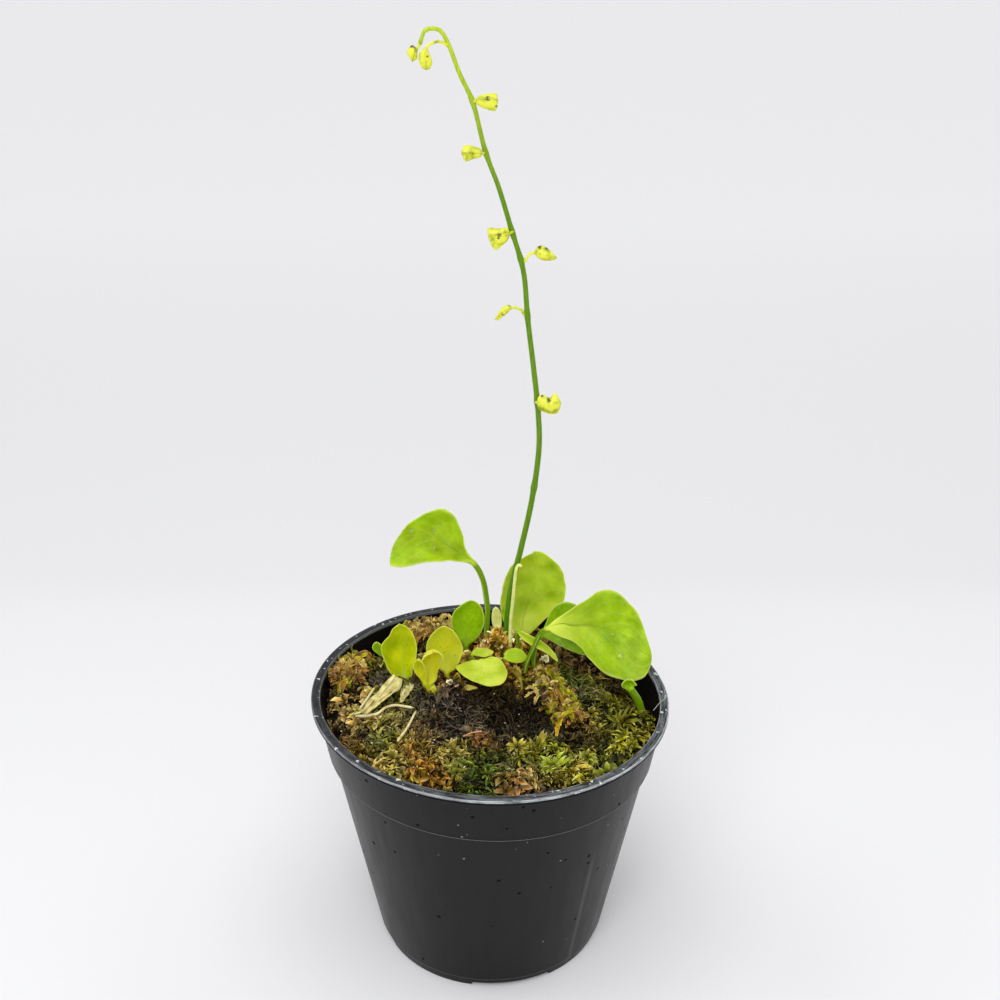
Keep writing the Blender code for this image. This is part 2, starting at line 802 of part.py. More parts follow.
        rib=[(-8.6, 4.3, 70.6)],
        right=[(-7.8, 3.6, 70.2)],
        tip=(-8.4, 3.8, 72.2),
        stem_r=0.45,
        finish="olive",
        rows=5,
        stem_rows=2,
    ),
    "old_front_leaflet": dict(
        foot=(-7.4, 2.4),
        stem=[(-7.2, 2.3, 67.6), (-6.9, 2.2, 68.4)],
        left=[(-5.8, 2.5, 69.5)],
        rib=[(-5, 2, 69.1)],
        right=[(-5.4, 1.4, 68.6)],
        tip=(-3.2, 1.8, 69),
        stem_r=0.45,
        finish="olive",
        rows=5,
        stem_rows=2,
    ),
    "old_right_leaflet": dict(
        foot=(8, 7),
        stem=[(7.9, 7.2, 67), (7.6, 7.5, 68)],
        left=[(9, 8.2, 70.2), (8.2, 9, 71.6)],
        rib=[(7, 8.9, 69.8), (6.4, 9.3, 71)],
        right=[(5.2, 7.6, 68.6), (4.3, 8.4, 70.4)],
        tip=(5.6, 9.3, 71.7),
        stem_r=0.45,
        finish="olive",
        rows=6,
    ),
}


def spoon_leaves(finishes, into):
    for name, shape in LEAVES.items():
        rest = {key: value for key, value in shape.items() if key != "finish"}
        leaf(name, finish=finishes[shape["finish"]], into=into, **rest)


# Foot, route, and radius at the foot and at the tip of each standing stem, and the points along it.
STEMS = {
    "flower_scape": dict(
        foot=(4.0, 19.8),
        route=[
            (4.4, 19.6, 80),
            (5.4, 19.5, 89),
            (7.8, 19.3, 100),
            (10.4, 18.7, 113.5),
            (12, 18.2, 127),
            (11.8, 18, 137),
            (10.5, 18, 149),
            (9, 18, 161),
            (7.9, 18, 172.5),
            (5, 18, 182.5),
            (2.1, 18, 192),
            (-0.9, 18, 200),
            (-3.6, 18, 210.5),
            (-6.4, 18, 216.5),
            (-8.7, 18, 222.5),
            (-10.4, 17.9, 225.5),
            (-12.2, 17.8, 226.3),
            (-14, 17.8, 225.6),
            (-15, 17.8, 223.2),
        ],
        radius=0.85,
        tip_radius=0.5,
        finish="scape",
        count=46,
    ),
    "dry_stalk": dict(
        foot=(5.0, 16.6),
        route=[
            (5.2, 16.6, 80),
            (5.7, 16.6, 86),
            (6.2, 16.6, 92),
            (6.6, 16.6, 95.4),
            (7.3, 16.6, 96.6),
            (7.8, 16.6, 96),
        ],
        radius=0.5,
        tip_radius=0.4,
        finish="straw",
        count=22,
    ),
    "dark_runner": dict(
        foot=(-16.8, -2.0),
        route=[
            (-17.4, -1.8, 70.8),
            (-18.6, -0.8, 71.5),
            (-20.4, 1.4, 71),
            (-22.2, 2.4, 71.1),
            (-23.8, 2.8, 71.5),
        ],
        radius=0.25,
        tip_radius=0.2,
        finish="olive",
        count=16,
    ),
}
# Places on the moss that each stolon lies along, and its radius.
STOLONS = {
    "long_stolon": (
        [
            (-33.6, -7.4),
            (-31, -7.4),
            (-28.2, -7.2),
            (-26.2, -5.6),
            (-23.8, -5.2),
            (-21.5, -6.2),
            (-19, -7),
        ],
        0.4,
    ),
    "front_stolon": ([(-22.8, -17), (-21, -12.5), (-19.4, -9)], 0.35),
    "side_stolon": ([(-32, -6), (-31, -2), (-29.6, 1.5)], 0.35),
}


def stems(finishes, into):
    """The scape, the dry stalk beside it, the dark runner, and the stolons that lie on the moss."""
    for name, stem in STEMS.items():
        path = planted(stem["foot"], stem["route"], stem["radius"])
        finish = finishes[stem["finish"]]
        strand(name, path, stem["radius"], finish, into, stem["tip_radius"], stem["count"])
    for name, (places, radius) in STOLONS.items():
        path = [(x, y, moss_height(x, y) + radius + LYING_GAP) for x, y in places]
        strand(name, path, radius, finishes["straw"], into, radius * 0.8, 18)


# The stalk, the upper edge, middle, lower edge and tip, and half the depth of each calyx and bud.
PODS = {
    "calyx_1": dict(
        stem=[(11.6, 17, 141), (11.4, 16.4, 140.9), (11.2, 16, 140.8)],
        upper=[(11.6, 15.8, 142.3), (13.5, 15.6, 142.9), (16, 15.6, 143.1)],
        middle=[(13, 15.4, 140.6), (15.5, 15.4, 140.4)],
        lower=[(12, 15.8, 139), (14.5, 15.6, 138.1), (16.4, 15.6, 138.3)],
        tip=(17.3, 15.6, 140.8),
        half_depth=1.2,
    ),
    "calyx_2": dict(
        stem=[(7.8, 17.9, 162.6), (7.4, 17.9, 163.3), (6.4, 17.7, 163.9), (5.3, 17.5, 164)],
        upper=[(4.4, 17.4, 164.7), (3, 17.2, 164.1), (1.9, 17, 162.8)],
        middle=[(3.8, 17.2, 163.4), (2.5, 17, 162.2)],
        lower=[(4.2, 17.4, 162.7), (2.8, 17.2, 161.6), (1.9, 17, 161.1)],
        tip=(1.1, 17, 161.2),
        half_depth=0.9,
    ),
    "calyx_3": dict(
        stem=[(8.7, 17.9, 175.6), (9, 17.9, 176.3), (9.6, 17.8, 176.9), (10.3, 17.6, 177)],
        upper=[(10.9, 17.4, 178.3), (12.2, 17.2, 178.7), (13.9, 17, 177.8)],
        middle=[(12, 17, 177), (13.8, 17, 176.6)],
        lower=[(11.3, 17.4, 175.8), (12.8, 17.2, 175.3), (14.5, 17, 175.4)],
        tip=(15.7, 17, 176),
        half_depth=1.2,
    ),
    "calyx_4": dict(
        stem=[(4.6, 17.2, 181.8), (4.3, 17, 181.7), (4, 16.8, 181.6)],
        upper=[(3.4, 16.6, 183.2), (1.6, 16.6, 182.9), (-0.3, 16.6, 182.6)],
        middle=[(2.5, 16.6, 181.2), (1, 16.6, 180.8)],
        lower=[(3.8, 16.6, 180.1), (2.8, 16.6, 179), (1.4, 16.6, 178)],
        tip=(-0.2, 16.6, 180.4),
        half_depth=1.0,
    ),
    "calyx_5": dict(
        stem=[(-1.9, 17.9, 199.7), (-2.1, 17.8, 199.7), (-2.4, 17.8, 199.7)],
        upper=[(-2.8, 17.6, 200.9), (-4.2, 17.4, 201.4), (-5.8, 17.2, 201.2)],
        middle=[(-3.7, 17.4, 199.7), (-5, 17.3, 199.6)],
        lower=[(-2.7, 17.6, 198.8), (-3.9, 17.4, 198.3), (-5.4, 17.2, 198)],
        tip=(-6.3, 17.2, 199.7),
        half_depth=1.2,
    ),
    "calyx_6": dict(
        stem=[(-2.7, 17.9, 211), (-2.5, 17.8, 211), (-2.2, 17.8, 211)],
        upper=[(-1.8, 17.6, 212.3), (-0.4, 17.4, 212.5), (1.4, 17.2, 212.2)],
        middle=[(-1, 17.4, 211), (0.5, 17.3, 210.8)],
        lower=[(-1.9, 17.6, 210), (-0.7, 17.4, 209.4), (1, 17.2, 209.2)],
        tip=(2, 17.2, 210.7),
        half_depth=1.2,
    ),
    "upper_tip_bud": dict(
        stem=[(-15.2, 17.8, 222.2), (-15.5, 17.8, 222), (-15.8, 17.8, 221.9)],
        upper=[(-16.8, 17.8, 222.7), (-18, 17.6, 221.2)],
        middle=[(-16.4, 17.8, 221.2), (-16.8, 17.8, 220.2)],
        lower=[(-15.6, 17.8, 221), (-15.7, 17.7, 219.9)],
        tip=(-16.8, 17.6, 219.2),
        half_depth=1.0,
    ),
    "lower_tip_bud": dict(
        stem=[(-9.9, 17.4, 223.2), (-11, 17, 223.5), (-12.4, 16.4, 223.2), (-13.5, 15.8, 222.5)],
        upper=[(-14.9, 15.5, 221.6), (-15.3, 15.4, 219.8), (-14.7, 15.4, 218.3)],
        middle=[(-13.9, 15.5, 221), (-13.8, 15.5, 219.4)],
        lower=[(-12.8, 15.5, 221), (-12.2, 15.4, 219.4), (-12.7, 15.4, 218.1)],
        tip=(-13.7, 15.4, 217.7),
        half_depth=1.0,
    ),
}


def pods(finish, into):
    for name, shape in PODS.items():
        calyx(name, finish=finish, into=into, **shape)


# Places on the moss that each lump of loose dry moss lies along, its radius and which way it is wide.
CLUMPS = {
    "dry_moss_clump": ([(13.6, 12.5), (15.4, 5), (17.4, -2), (20.5, -12)], 2.6, (1, 0, 0)),
    "rear_moss_clump": ([(-23.5, 28), (-18, 31), (-11, 31.5)], 2.6, (0, 1, 0)),
    "left_moss_clump": ([(-37, 4), (-37.2, 11), (-35.4, 17.5)], 2.6, (1, 0, 0)),
}


def moss_clump(name, places, radius, across, finish, into):
    """A flattened lump of moss that lies on the bed."""
    lift = CLUMP_FLATNESS * radius + LYING_GAP
    path = smooth_path([(x, y, moss_height(x, y) + lift) for x, y in places], 40)
    rings = []
    for k in range(CLUMP_ROWS + 1):
        t = k / CLUMP_ROWS
        rough = 1 + CLUMP_ROUGHNESS * noise.noise(Vector((t * 6, radius, 0)))
        width = radius * rough * math.sin(math.pi * mix(0.1, 0.9, t)) ** 0.6
        ring = round_ring(Vector(), direction_at(path, t), Vector(across), width, CLUMP_SIDES)
        for p in ring:
            p.z *= CLUMP_FLATNESS
        rings.append([point_at(path, t) + p for p in ring])
    return loft(name, rings, finish, into)


def moss_clumps(finish, into):
    for name, (places, radius, across) in CLUMPS.items():
        moss_clump(name, places, radius, across, finish, into)


def main():
    clear_scene()
    plant = collection("potted_bladderwort")
    cutters = collection("cutters")
    finishes = {
        "leaf": material("leaf_green", LEAF_GREEN, 0.42),
        "young": material("young_leaf_yellow", YOUNG_YELLOW, 0.45),
        "scape": material("scape_green", STEM_GREEN, 0.45),
        "straw": material("straw", PALE_STRAW, 0.6),
        "olive": material("old_leaf_olive", OLD_OLIVE, 0.6),
    }
    spoon_leaves(finishes, plant)
    stems(finishes, plant)
    pods(material("calyx_yellow", CALYX_YELLOW, 0.5), plant)
    moss_clumps(material("dry_moss", MOSS_TAN, 0.85), plant)
    moss_bed(material("sphagnum", MOSS_OLIVE, 0.9), plant, cutters)
    nursery_pot(material("black_polypropylene", POT_BLACK, 0.38), plant, cutters)


main()
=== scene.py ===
"""Potted bladderwort: the finished look of the plant, its moss and its pot.

Laid out as a Blender add-on and run as a script. Lengths in the code are in millimetres unless a
name or a property says otherwise; MM turns them to metres. The plant grows from the same given
points as the model's solids, so every piece lies where its solid does.
"""

import json
import math
import random

import bmesh
import bpy
from bpy.props import FloatProperty, FloatVectorProperty, IntProperty, PointerProperty
from mathutils import Matrix, Vector, noise

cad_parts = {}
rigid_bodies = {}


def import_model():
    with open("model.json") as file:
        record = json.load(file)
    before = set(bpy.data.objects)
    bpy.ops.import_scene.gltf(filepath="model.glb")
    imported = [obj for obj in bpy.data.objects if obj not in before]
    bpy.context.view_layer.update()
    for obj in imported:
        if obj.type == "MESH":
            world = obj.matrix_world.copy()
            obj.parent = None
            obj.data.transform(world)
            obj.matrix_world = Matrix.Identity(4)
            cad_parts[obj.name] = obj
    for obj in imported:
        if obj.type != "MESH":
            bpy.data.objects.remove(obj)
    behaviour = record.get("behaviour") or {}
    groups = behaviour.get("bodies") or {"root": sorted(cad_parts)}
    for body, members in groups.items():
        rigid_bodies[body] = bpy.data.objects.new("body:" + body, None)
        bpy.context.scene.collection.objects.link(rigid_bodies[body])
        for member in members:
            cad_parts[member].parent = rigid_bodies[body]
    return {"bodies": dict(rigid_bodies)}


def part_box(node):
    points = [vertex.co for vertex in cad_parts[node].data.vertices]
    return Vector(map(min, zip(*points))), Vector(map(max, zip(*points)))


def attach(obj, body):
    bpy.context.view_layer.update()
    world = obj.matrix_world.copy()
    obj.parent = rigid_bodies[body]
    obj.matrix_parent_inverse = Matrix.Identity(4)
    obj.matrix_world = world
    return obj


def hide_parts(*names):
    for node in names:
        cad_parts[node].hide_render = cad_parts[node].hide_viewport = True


bl_info = {
    "name": "Potted bladderwort",
    "version": (1, 0, 0),
    "blender": (4, 5, 0),
    "location": "View3D > Sidebar > Plant",
    "description": "Builds a bladderwort in a nursery pot of moss, with its stage",
    "category": "Add Mesh",
}

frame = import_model()
MM = 0.001
BODY = list(frame["bodies"])[0]
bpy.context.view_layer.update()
POT_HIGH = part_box("nursery_pot")[1]

# The pot, in millimetres, from the frame and from the model's driving sizes.
RIM_R = POT_HIGH.x / MM
POT_H = 70.0
FOOT_R = 29.6
WALL_TOP_R = RIM_R - 2.0
WALL = 1.1
COLLAR_Z = POT_H - 14.0
COLLAR_STEP = 1.1
RIM_DROP = 1.2
FLOOR_UNDER_Z = 1.5
FLOOR_TOP_Z = 2.7
FOOT_WIDTH = 4.0
DRAIN_COUNT, DRAIN_RING_R, DRAIN_R, CENTRE_DRAIN_R = 8, 19.0, 3.0, 4.0
NOTCH_COUNT, NOTCH_WIDTH, NOTCH_H, NOTCH_TURN = 4, 20.0, 1.2, math.radians(-79.5)
STREAK_TURN = math.radians(-48)
# The thin-walled pot sits aslant of its foot: its rim rises or sinks by these, in mm for each mm of x
# and of y, and by this much all over.
SLANT_X, SLANT_Y, SAG = -0.035, 0.0135, 0.5

# The top of the moss: its level, and (x, y, height, spread) of each swell or hollow.
MOSS_LEVEL = 65.2
RIPPLE, RIPPLE_SIZE = 0.9, 5.5
MOSS_SWELLS = (
    (2, 19.5, 9.0, 6.0), (-17, 0, 4.5, 7.0), (-16, 31, 1.8, 6.5), (-35, 8, 1.5, 5.0), (0, -38, 2.4, 15.0),
    (4, -7, -3.0, 6.0), (33, 17, -3.0, 8.0),
)
BURIED = 3.0
STALK_R = 0.32
LYING_GAP = 0.45
TOWARDS_VIEWER = Vector((0.0, -0.9, 0.45))
UP, FRONT = Vector((0, 0, 1)), Vector((0, -1, 0))

# The hummocks of the moss: their size across, their height, and the depth of the gaps between them.
HUMMOCK_SIZE, HUMMOCK_H, GAP_DEPTH = 6.4, 2.6, 1.5
# How far the outlines of the hummocks and patches wander, and how far those of the patches fray.
WANDER, FRAY = 2.4, 2.0
# How wide and how deep a stolon presses the moss down.
STOLON_BED, STOLON_DENT = 1.7, 0.7
GRIT_GRAINS = 130
# (x, y, depth, spread) of the deep hollows, whose moss is painted dark as painted shade, and
# (x, y, height, spread) of the higher tussocks.
HOLLOWS = (
    (7.5, 0.5, 2.6, 3.0), (10.5, -6.5, 2.6, 3.2), (14.5, -12.5, 1.8, 2.2), (3.5, -9.0, 1.0, 2.4),
    (22.5, -17.5, 1.6, 2.0), (24.0, 26.0, 3.0, 5.0), (-4.0, 40.0, 3.0, 6.0), (42.5, 3.0, 5.0, 4.5),
    (40.0, 12.0, 5.0, 6.0), (-35.5, -13.5, 1.4, 1.8), (-40.0, 24.0, 2.0, 5.0), (-9.0, -12.0, 1.2, 2.0),
)
TUSSOCKS = (
    (-15.0, -9.0, 2.0, 2.6), (-10.0, 0.5, 2.0, 2.4), (-38.0, 4.0, 1.6, 3.5), (32.0, -12.0, 1.2, 5.0),
    (33.0, -21.0, 1.2, 4.0), (-17.0, -31.0, 1.4, 4.0), (9.0, -34.0, 1.2, 4.0),
)

# (x, y, spread, colour, growth) of each patch of the moss. The colours are those of MossSettings.
MOSS_PATCHES = (
    (-38, 17, 3.5, "brown", "curl"), (-32, 19, 4.0, "olive", "curl"), (-30, 13, 3.5, "grey", "fibre"),
    (-36, -4, 5.0, "tan", "curl"), (-41, -2, 2.5, "tan", "curl"), (-36, -14, 4.5, "brown", "fibre"),
    (-31, -12, 4.0, "tan", "curl"), (-25, -17, 4.5, "green", "star"), (-30, -22, 3.0, "brown", "fibre"),
    (-30, -28, 4.0, "olive", "star"), (-23, -26, 3.5, "tan", "plume"), (-20, -31, 3.0, "yellow", "curl"),
    (-16, -30, 4.0, "rust", "curl"), (-12, -34, 3.0, "rust", "curl"), (-22, -20, 3.0, "rust", "curl"),
    (-15, -6, 6.0, "grey", "fibre"), (-17, -14, 5.0, "brown", "fibre"), (-25, -3, 4.0, "olive", "fibre"),
    (-8, -15, 4.5, "grey", "fibre"), (-6, -21, 5.0, "olive", "star"), (-10, -25, 4.0, "tan", "plume"),
    (-5, -31, 5.0, "dark_green", "star"), (-1, -36, 3.0, "green", "star"), (-2, -16, 2.5, "rust", "curl"),
    (-11, 6, 4.0, "brown", "curl"), (-4, 2, 4.0, "umber", "fibre"), (2, 19.5, 6.0, "amber", "curl"),
    (-2, 28, 4.0, "amber", "curl"), (-20, 31, 6.0, "tan", "curl"), (-14, 36, 4.0, "olive", "curl"),
    (21, 13, 5.0, "dark_green", "fibre"), (22, 4, 4.5, "grey", "fibre"),
    (26, 1, 3.0, "dark_green", "fibre"), (29, 9, 5.0, "olive", "plume"), (29, -3, 3.5, "yellow", "star"),
    (23, -9, 4.0, "brown", "star"), (33, -9, 5.0, "olive", "plume"), (32, -15, 5.0, "yellow", "plume"),
    (33, -20, 4.5, "yellow", "star"), (28, -16, 2.5, "peat", "fibre"), (22, -16, 2.5, "peat", "fibre"),
    (18, -23, 5.0, "olive", "star"), (22, -29, 3.0, "tan", "curl"), (27, -27, 3.0, "green", "curl"),
    (17, -32, 4.0, "yellow", "plume"), (7, -31, 3.0, "tan", "curl"), (11, -35, 3.5, "tan", "plume"),
    (6, -38, 3.0, "brown", "curl"), (14, -27, 3.5, "green", "star"), (8, -21, 4.5, "yellow", "star"),
    (1, -19, 2.5, "rust", "curl"), (1, -26, 4.0, "green", "star"), (3, -14, 4.0, "grey", "fibre"),
    (39, -14, 4.0, "olive", "plume"), (10, -8, 5.0, "umber", "fibre"), (14, -13, 3.0, "grey", "fibre"),
    (4, -1, 5.0, "umber", "fibre"), (33, 22, 7.0, "brown", "curl"), (5, 36, 8.0, "brown", "curl"),
)
GROWTH_KINDS = ("star", "plume", "curl", "fibre")
MOSS_COLOURS = (
    "rust", "tan", "olive", "yellow", "green", "dark_green",
    "brown", "grey", "umber", "amber", "cream", "peat",
)


def linear(code):
    """The linear RGBA colour of an sRGB code such as #8fbf10."""
    parts = [int(code[k : k + 2], 16) / 255 for k in (1, 3, 5)]
    return (*[c / 12.92 if c <= 0.04045 else ((c + 0.055) / 1.055) ** 2.4 for c in parts], 1.0)


def per_mm(size):
    """The scale of a texture on Object coordinates, in metres, whose features are size millimetres."""
    return 1.0 / (size * MM)


def colour_property(name, description, code):
    return FloatVectorProperty(
        name=name, description=description, subtype="COLOR", size=4, min=0.0, max=1.0, default=linear(code)
    )


def length_property(name, description, millimetres):
    length = millimetres * MM
    return FloatProperty(name=name, description=description, unit="LENGTH", precision=5, default=length)


# ---------------------------------------------------------------- settings


class PotSettings(bpy.types.PropertyGroup):
    """Sizes and colours of the nursery pot."""

    rim_width: length_property("Rim width", "Width of the flat ring on top of the wall", 2.2)
    warp: length_property("Rim warp", "How far the thin rim waves up and down", 0.12)
    plastic: colour_property("Plastic", "Near-black polypropylene", "#09090b")
    # The pale lines along the rim's two edges are painted highlights, brighter where the rim is rubbed.
    edge_highlight: colour_property("Scuffs", "Rubbed edges of the rim", "#9fa2a5")


class MossSettings(bpy.types.PropertyGroup):
    """Sizes and colours of the moss."""

    star_spacing: length_property("Star spacing", "Least distance between star heads", 2.2)
    mat_spacing: length_property("Mat spacing", "Least distance between the small tufts below the heads", 1.3)
    seed: IntProperty(name="Seed", description="Seed of the moss's places and turns", default=7)
    rust: colour_property("Rust", "Old orange-brown heads", "#a66c30")
    tan: colour_property("Tan", "Dry pale heads", "#c4a968")
    olive: colour_property("Olive", "Most of the living heads", "#9c9336")
    yellow: colour_property("Yellow", "Brightest young heads", "#a8a03c")
    green: colour_property("Green", "Fresh green tufts", "#86983a")
    dark_green: colour_property("Dark green", "Wet green tufts", "#667226")
    brown: colour_property("Brown", "Dead brown growth", "#936f3e")
    grey: colour_property("Grey", "Wet dark fibres", "#6c6456")
    # Partly the dark colour of soaked fibres, and partly painted shade for the moss in the leaves' shadow.
    umber: colour_property("Umber", "Soaked fibres in the middle", "#3e321c")
    amber: colour_property("Amber", "Papery dead scales at the crown", "#b48a34")
    cream: colour_property("Cream", "Bleached scraps", "#efe2b8")
    # peat is also the colour painted into the moss's gaps and leaflet bases as painted shade.
    peat: colour_property("Peat", "Wet ground between the heads", "#17110a")


class LeafSettings(bpy.types.PropertyGroup):
    """Sizes and colours of the leaves and the scape."""

    thickness: length_property("Leaf thickness", "Thickness of a blade", 0.42)
    green: colour_property("Leaf green", "Main colour of the grown leaves", "#acd404")
    deep: colour_property("Deep green", "Shaded parts of the grown leaves", "#80a802")
    young: colour_property("Young leaf", "Main colour of the young leaves", "#e0e608")
    young_deep: colour_property("Young leaf, deep", "Deeper parts of the young leaves", "#bed008")
    scape_low: colour_property("Scape, low", "The flower stalk near its foot", "#648e08")
    scape_high: colour_property("Scape, high", "The flower stalk near its tip", "#bcd22c")
    calyx: colour_property("Calyx", "Swollen calyces and buds", "#ecf040")
    straw: colour_property("Straw", "Stolons and withered growth", "#fff4c4")


class StageSettings(bpy.types.PropertyGroup):
    """The floor, the light and the camera."""

    floor: colour_property("Floor", "Pale paper in front of the pot", "#f5f5f7")
    floor_far: colour_property("Floor, far", "The same paper behind the pot, up to its line", "#f4f4f6")
    # behind and distance are painted shade just behind the line and painted light far behind it.
    behind: colour_property("Behind", "The paper just behind its line", "#f0f0f3")
    distance: colour_property("Distance", "The paper far behind the pot", "#fcfcff")
    seen: colour_property("Seen sky", "What the camera and reflections see past the paper", "#eaeaee")
    sky_strength: FloatProperty(name="Sky strength", description="Light from all round", default=0.36)
    lens: FloatProperty(name="Lens", description="Focal length of the camera, mm", default=46.8)
# ---------------------------------------------------------------- small helpers


def mix(a, b, t):
    return a + (b - a) * t


def ease(t):
    t = min(max(t, 0.0), 1.0)
    return t * t * (3 - 2 * t)


def near(distance, spread):
    """1 at no distance, falling off smoothly over spread."""
    return math.exp(-(distance**2) / (2 * spread**2))


def heading(angle):
    """The level direction at angle about Z."""
    return Vector((math.cos(angle), math.sin(angle), 0))


def plug(tree, node, links):
    """Sets inputs of a node, each from a socket or to a value."""
    for key, value in links.items():
        if isinstance(value, bpy.types.NodeSocket):
            tree.links.new(value, node.inputs[key])
        else:
            node.inputs[key].default_value = value


def add(tree, kind, links=None, **settings):
    """Adds a node: settings are its own fields, links its inputs, each a socket or a value."""
    node = tree.nodes.new(kind)
    for name, value in settings.items():
        setattr(node, name, value)
    plug(tree, node, links or {})
    return node


def shaded(name):
    """A new material, its tree and its Principled shader."""
    made = bpy.data.materials.new(name)
    made.use_nodes = True
    return made, made.node_tree, made.node_tree.nodes["Principled BSDF"]


def put(name, data):
    """A new object in the scene."""
    obj = bpy.data.objects.new(name, data)
    bpy.context.scene.collection.objects.link(obj)
    return obj


def note(mesh, **values):
    """Notes numbers on the points of a mesh: one for each, or one for all."""
    for key, value in values.items():
        if isinstance(value, float):
            value = [value] * len(mesh.vertices)
        mesh.attributes.new(key, "FLOAT", "POINT").data.foreach_set("value", value)


def paint(mesh, colours):
    """Notes the moss's colour on the points of a mesh: r, g, b, a of each in turn, or one colour for all."""
    if len(colours) == 4:
        colours = [*colours] * len(mesh.vertices)
    mesh.attributes.new("moss_colour", "FLOAT_COLOR", "POINT").data.foreach_set("color", colours)


def from_bmesh(name, bm):
    mesh = bpy.data.meshes.new(name)
    bm.to_mesh(mesh)
    bm.free()
    return mesh


def face_outwards(mesh):
    """Turns the faces of a closed mesh outwards and shades it smooth."""
    bm = bmesh.new()
    bm.from_mesh(mesh)
    bmesh.ops.recalc_face_normals(bm, faces=bm.faces)
    bm.to_mesh(mesh)
    bm.free()
    mesh.shade_smooth()


def flat_mesh(name, points, faces):
    """A flat-shaded mesh from points in millimetres."""
    mesh = bpy.data.meshes.new(name)
    mesh.from_pydata([Vector(p) * MM for p in points], [], faces)
    return mesh


def open_mesh(name, points, faces, **values):
    """A smooth mesh from points in millimetres, with values on them."""
    mesh = flat_mesh(name, points, faces)
    mesh.shade_smooth()
    note(mesh, **values)
    return mesh


def closed_mesh(name, points, faces, uvs=None, **values):
    """A closed mesh from points in millimetres, with its faces outwards; uvs and values are per point."""
    mesh = flat_mesh(name, points, faces)
    face_outwards(mesh)
    if uvs:
        layer = mesh.uv_layers.new(name="UVMap")
        for loop in mesh.loops:
            layer.data[loop.index].uv = uvs[loop.vertex_index]
    note(mesh, **values)
    return mesh


def skin_mesh(name, rings, uvs=None, **values):
    """A closed mesh over rings of equal count, with a flat cap at each end."""
    count, last = len(rings[0]), len(rings) - 1
    faces = []
    for row in range(last):
        for k in range(count):
            j = (k + 1) % count
            faces.append((row * count + k, row * count + j, (row + 1) * count + j, (row + 1) * count + k))
    faces.append(tuple(range(count)))
    faces.append(tuple(range(last * count, (last + 1) * count)))
    return closed_mesh(name, [p for ring in rings for p in ring], faces, uvs, **values)


def join(name, meshes):
    """One mesh from several, with their shared attributes."""
    objects = [put(name, mesh) for mesh in meshes]
    first = dict(active_object=objects[0], object=objects[0])
    with bpy.context.temp_override(**first, selected_objects=objects, selected_editable_objects=objects):
        bpy.ops.object.join()
    made = objects[0].data
    bpy.data.objects.remove(objects[0])
    made.name = name
    return made


def place_piece(name, mesh, finish, slot, *nodes):
    """Puts a finished mesh in the scene as a piece that stands for the model's nodes."""
    if not mesh.polygons:
        raise RuntimeError(f"{name} came out empty")
    mesh.materials.clear()
    mesh.materials.append(finish)
    obj = put(name, mesh)
    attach(obj, BODY)
    if nodes:
        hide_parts(*nodes)


def smooth_path(points, count, before=None, after=None):
    """Evenly spaced points along a Catmull-Rom curve through points.

    before and after are unseen points that set its direction at its two ends.
    """
    knots = [Vector(p) for p in points]
    first = Vector(before) if before is not None else knots[0] * 2 - knots[1]
    last = Vector(after) if after is not None else knots[-1] * 2 - knots[-2]
    ends = [first, *knots, last]
    fine = []
    steps = 12
    for i in range(1, len(ends) - 2):
        a, b, c, d = ends[i - 1 : i + 3]
        for k in range(steps):
            t = k / steps
            bend = (2 * a - 5 * b + 4 * c - d) * t**2 + (3 * b - a - 3 * c + d) * t**3
            fine.append(0.5 * (2 * b + (c - a) * t + bend))
    fine.append(knots[-1])
    run = [0.0]
    for p, q in zip(fine, fine[1:]):
        run.append(run[-1] + (q - p).length)
    found, j = [], 0
    for k in range(count):
        goal = run[-1] * k / (count - 1)
        while j < len(run) - 2 and run[j + 1] < goal:
            j += 1
        found.append(fine[j].lerp(fine[j + 1], (goal - run[j]) / (run[j + 1] - run[j])))
    return found


def value_at(values, t):
    """The value at share t of evenly spaced values."""
    place = min(max(t, 0.0), 1.0) * (len(values) - 1)
    k = min(int(place), len(values) - 2)
    return mix(values[k], values[k + 1], place - k)


def point_at(path, t):
    """The point at share t of an evenly spaced path."""
    place = min(max(t, 0.0), 1.0) * (len(path) - 1)
    k = min(int(place), len(path) - 2)
    return path[k].lerp(path[k + 1], place - k)


def direction_at(path, t):
    return (point_at(path, t + 0.02) - point_at(path, t - 0.02)).normalized()


def upright(direction, along):
    """The part of direction that stands square to along."""
    return (direction - along * along.dot(direction)).normalized()


def strip_loop(sides):
    """Places (s, face) round a flat section, from s -1 to 1 on its front (1) and back on its back (-1)."""
    steps = [2 * k / sides - 1 for k in range(sides + 1)]
    return [(s, 1) for s in steps] + [(s, -1) for s in reversed(steps[1:-1])]


def tube_mesh(name, path, radius, sides=10):
    """A round stem along an evenly spaced path; radius(t) is its radius at share t."""
    across = Vector((1, 0, 0)) if abs(direction_at(path, 0.5).x) < 0.8 else Vector((0, 1, 0))
    rings, uvs = [], []
    for row in range(len(path)):
        t = row / (len(path) - 1)
        along = direction_at(path, t)
        across = upright(across, along)
        normal = along.cross(across)
        ring = []
        for k in range(sides):
            angle = 2 * math.pi * k / sides
            ring.append(point_at(path, t) + (across * math.cos(angle) + normal * math.sin(angle)) * radius(t))
            uvs.append((abs(1 - 2 * k / sides), t))
        rings.append(ring)
    return skin_mesh(name, rings, uvs)


# ---------------------------------------------------------------- pot


def wall_r(z):
    """Outer radius of the pot's wall, below the collar, at height z."""
    return mix(FOOT_R, WALL_TOP_R, z / POT_H)


def inner_r(z):
    """Inner radius of the pot at height z."""
    return wall_r(z) - (WALL if z < COLLAR_Z else 0.0)


def slant(x, y, z):
    """How far the pot is raised at (x, y, z): nothing at its foot, most from its collar up."""
    return min(max(z / COLLAR_Z, 0.0), 1.0) * (SLANT_X * x + SLANT_Y * y - SAG)


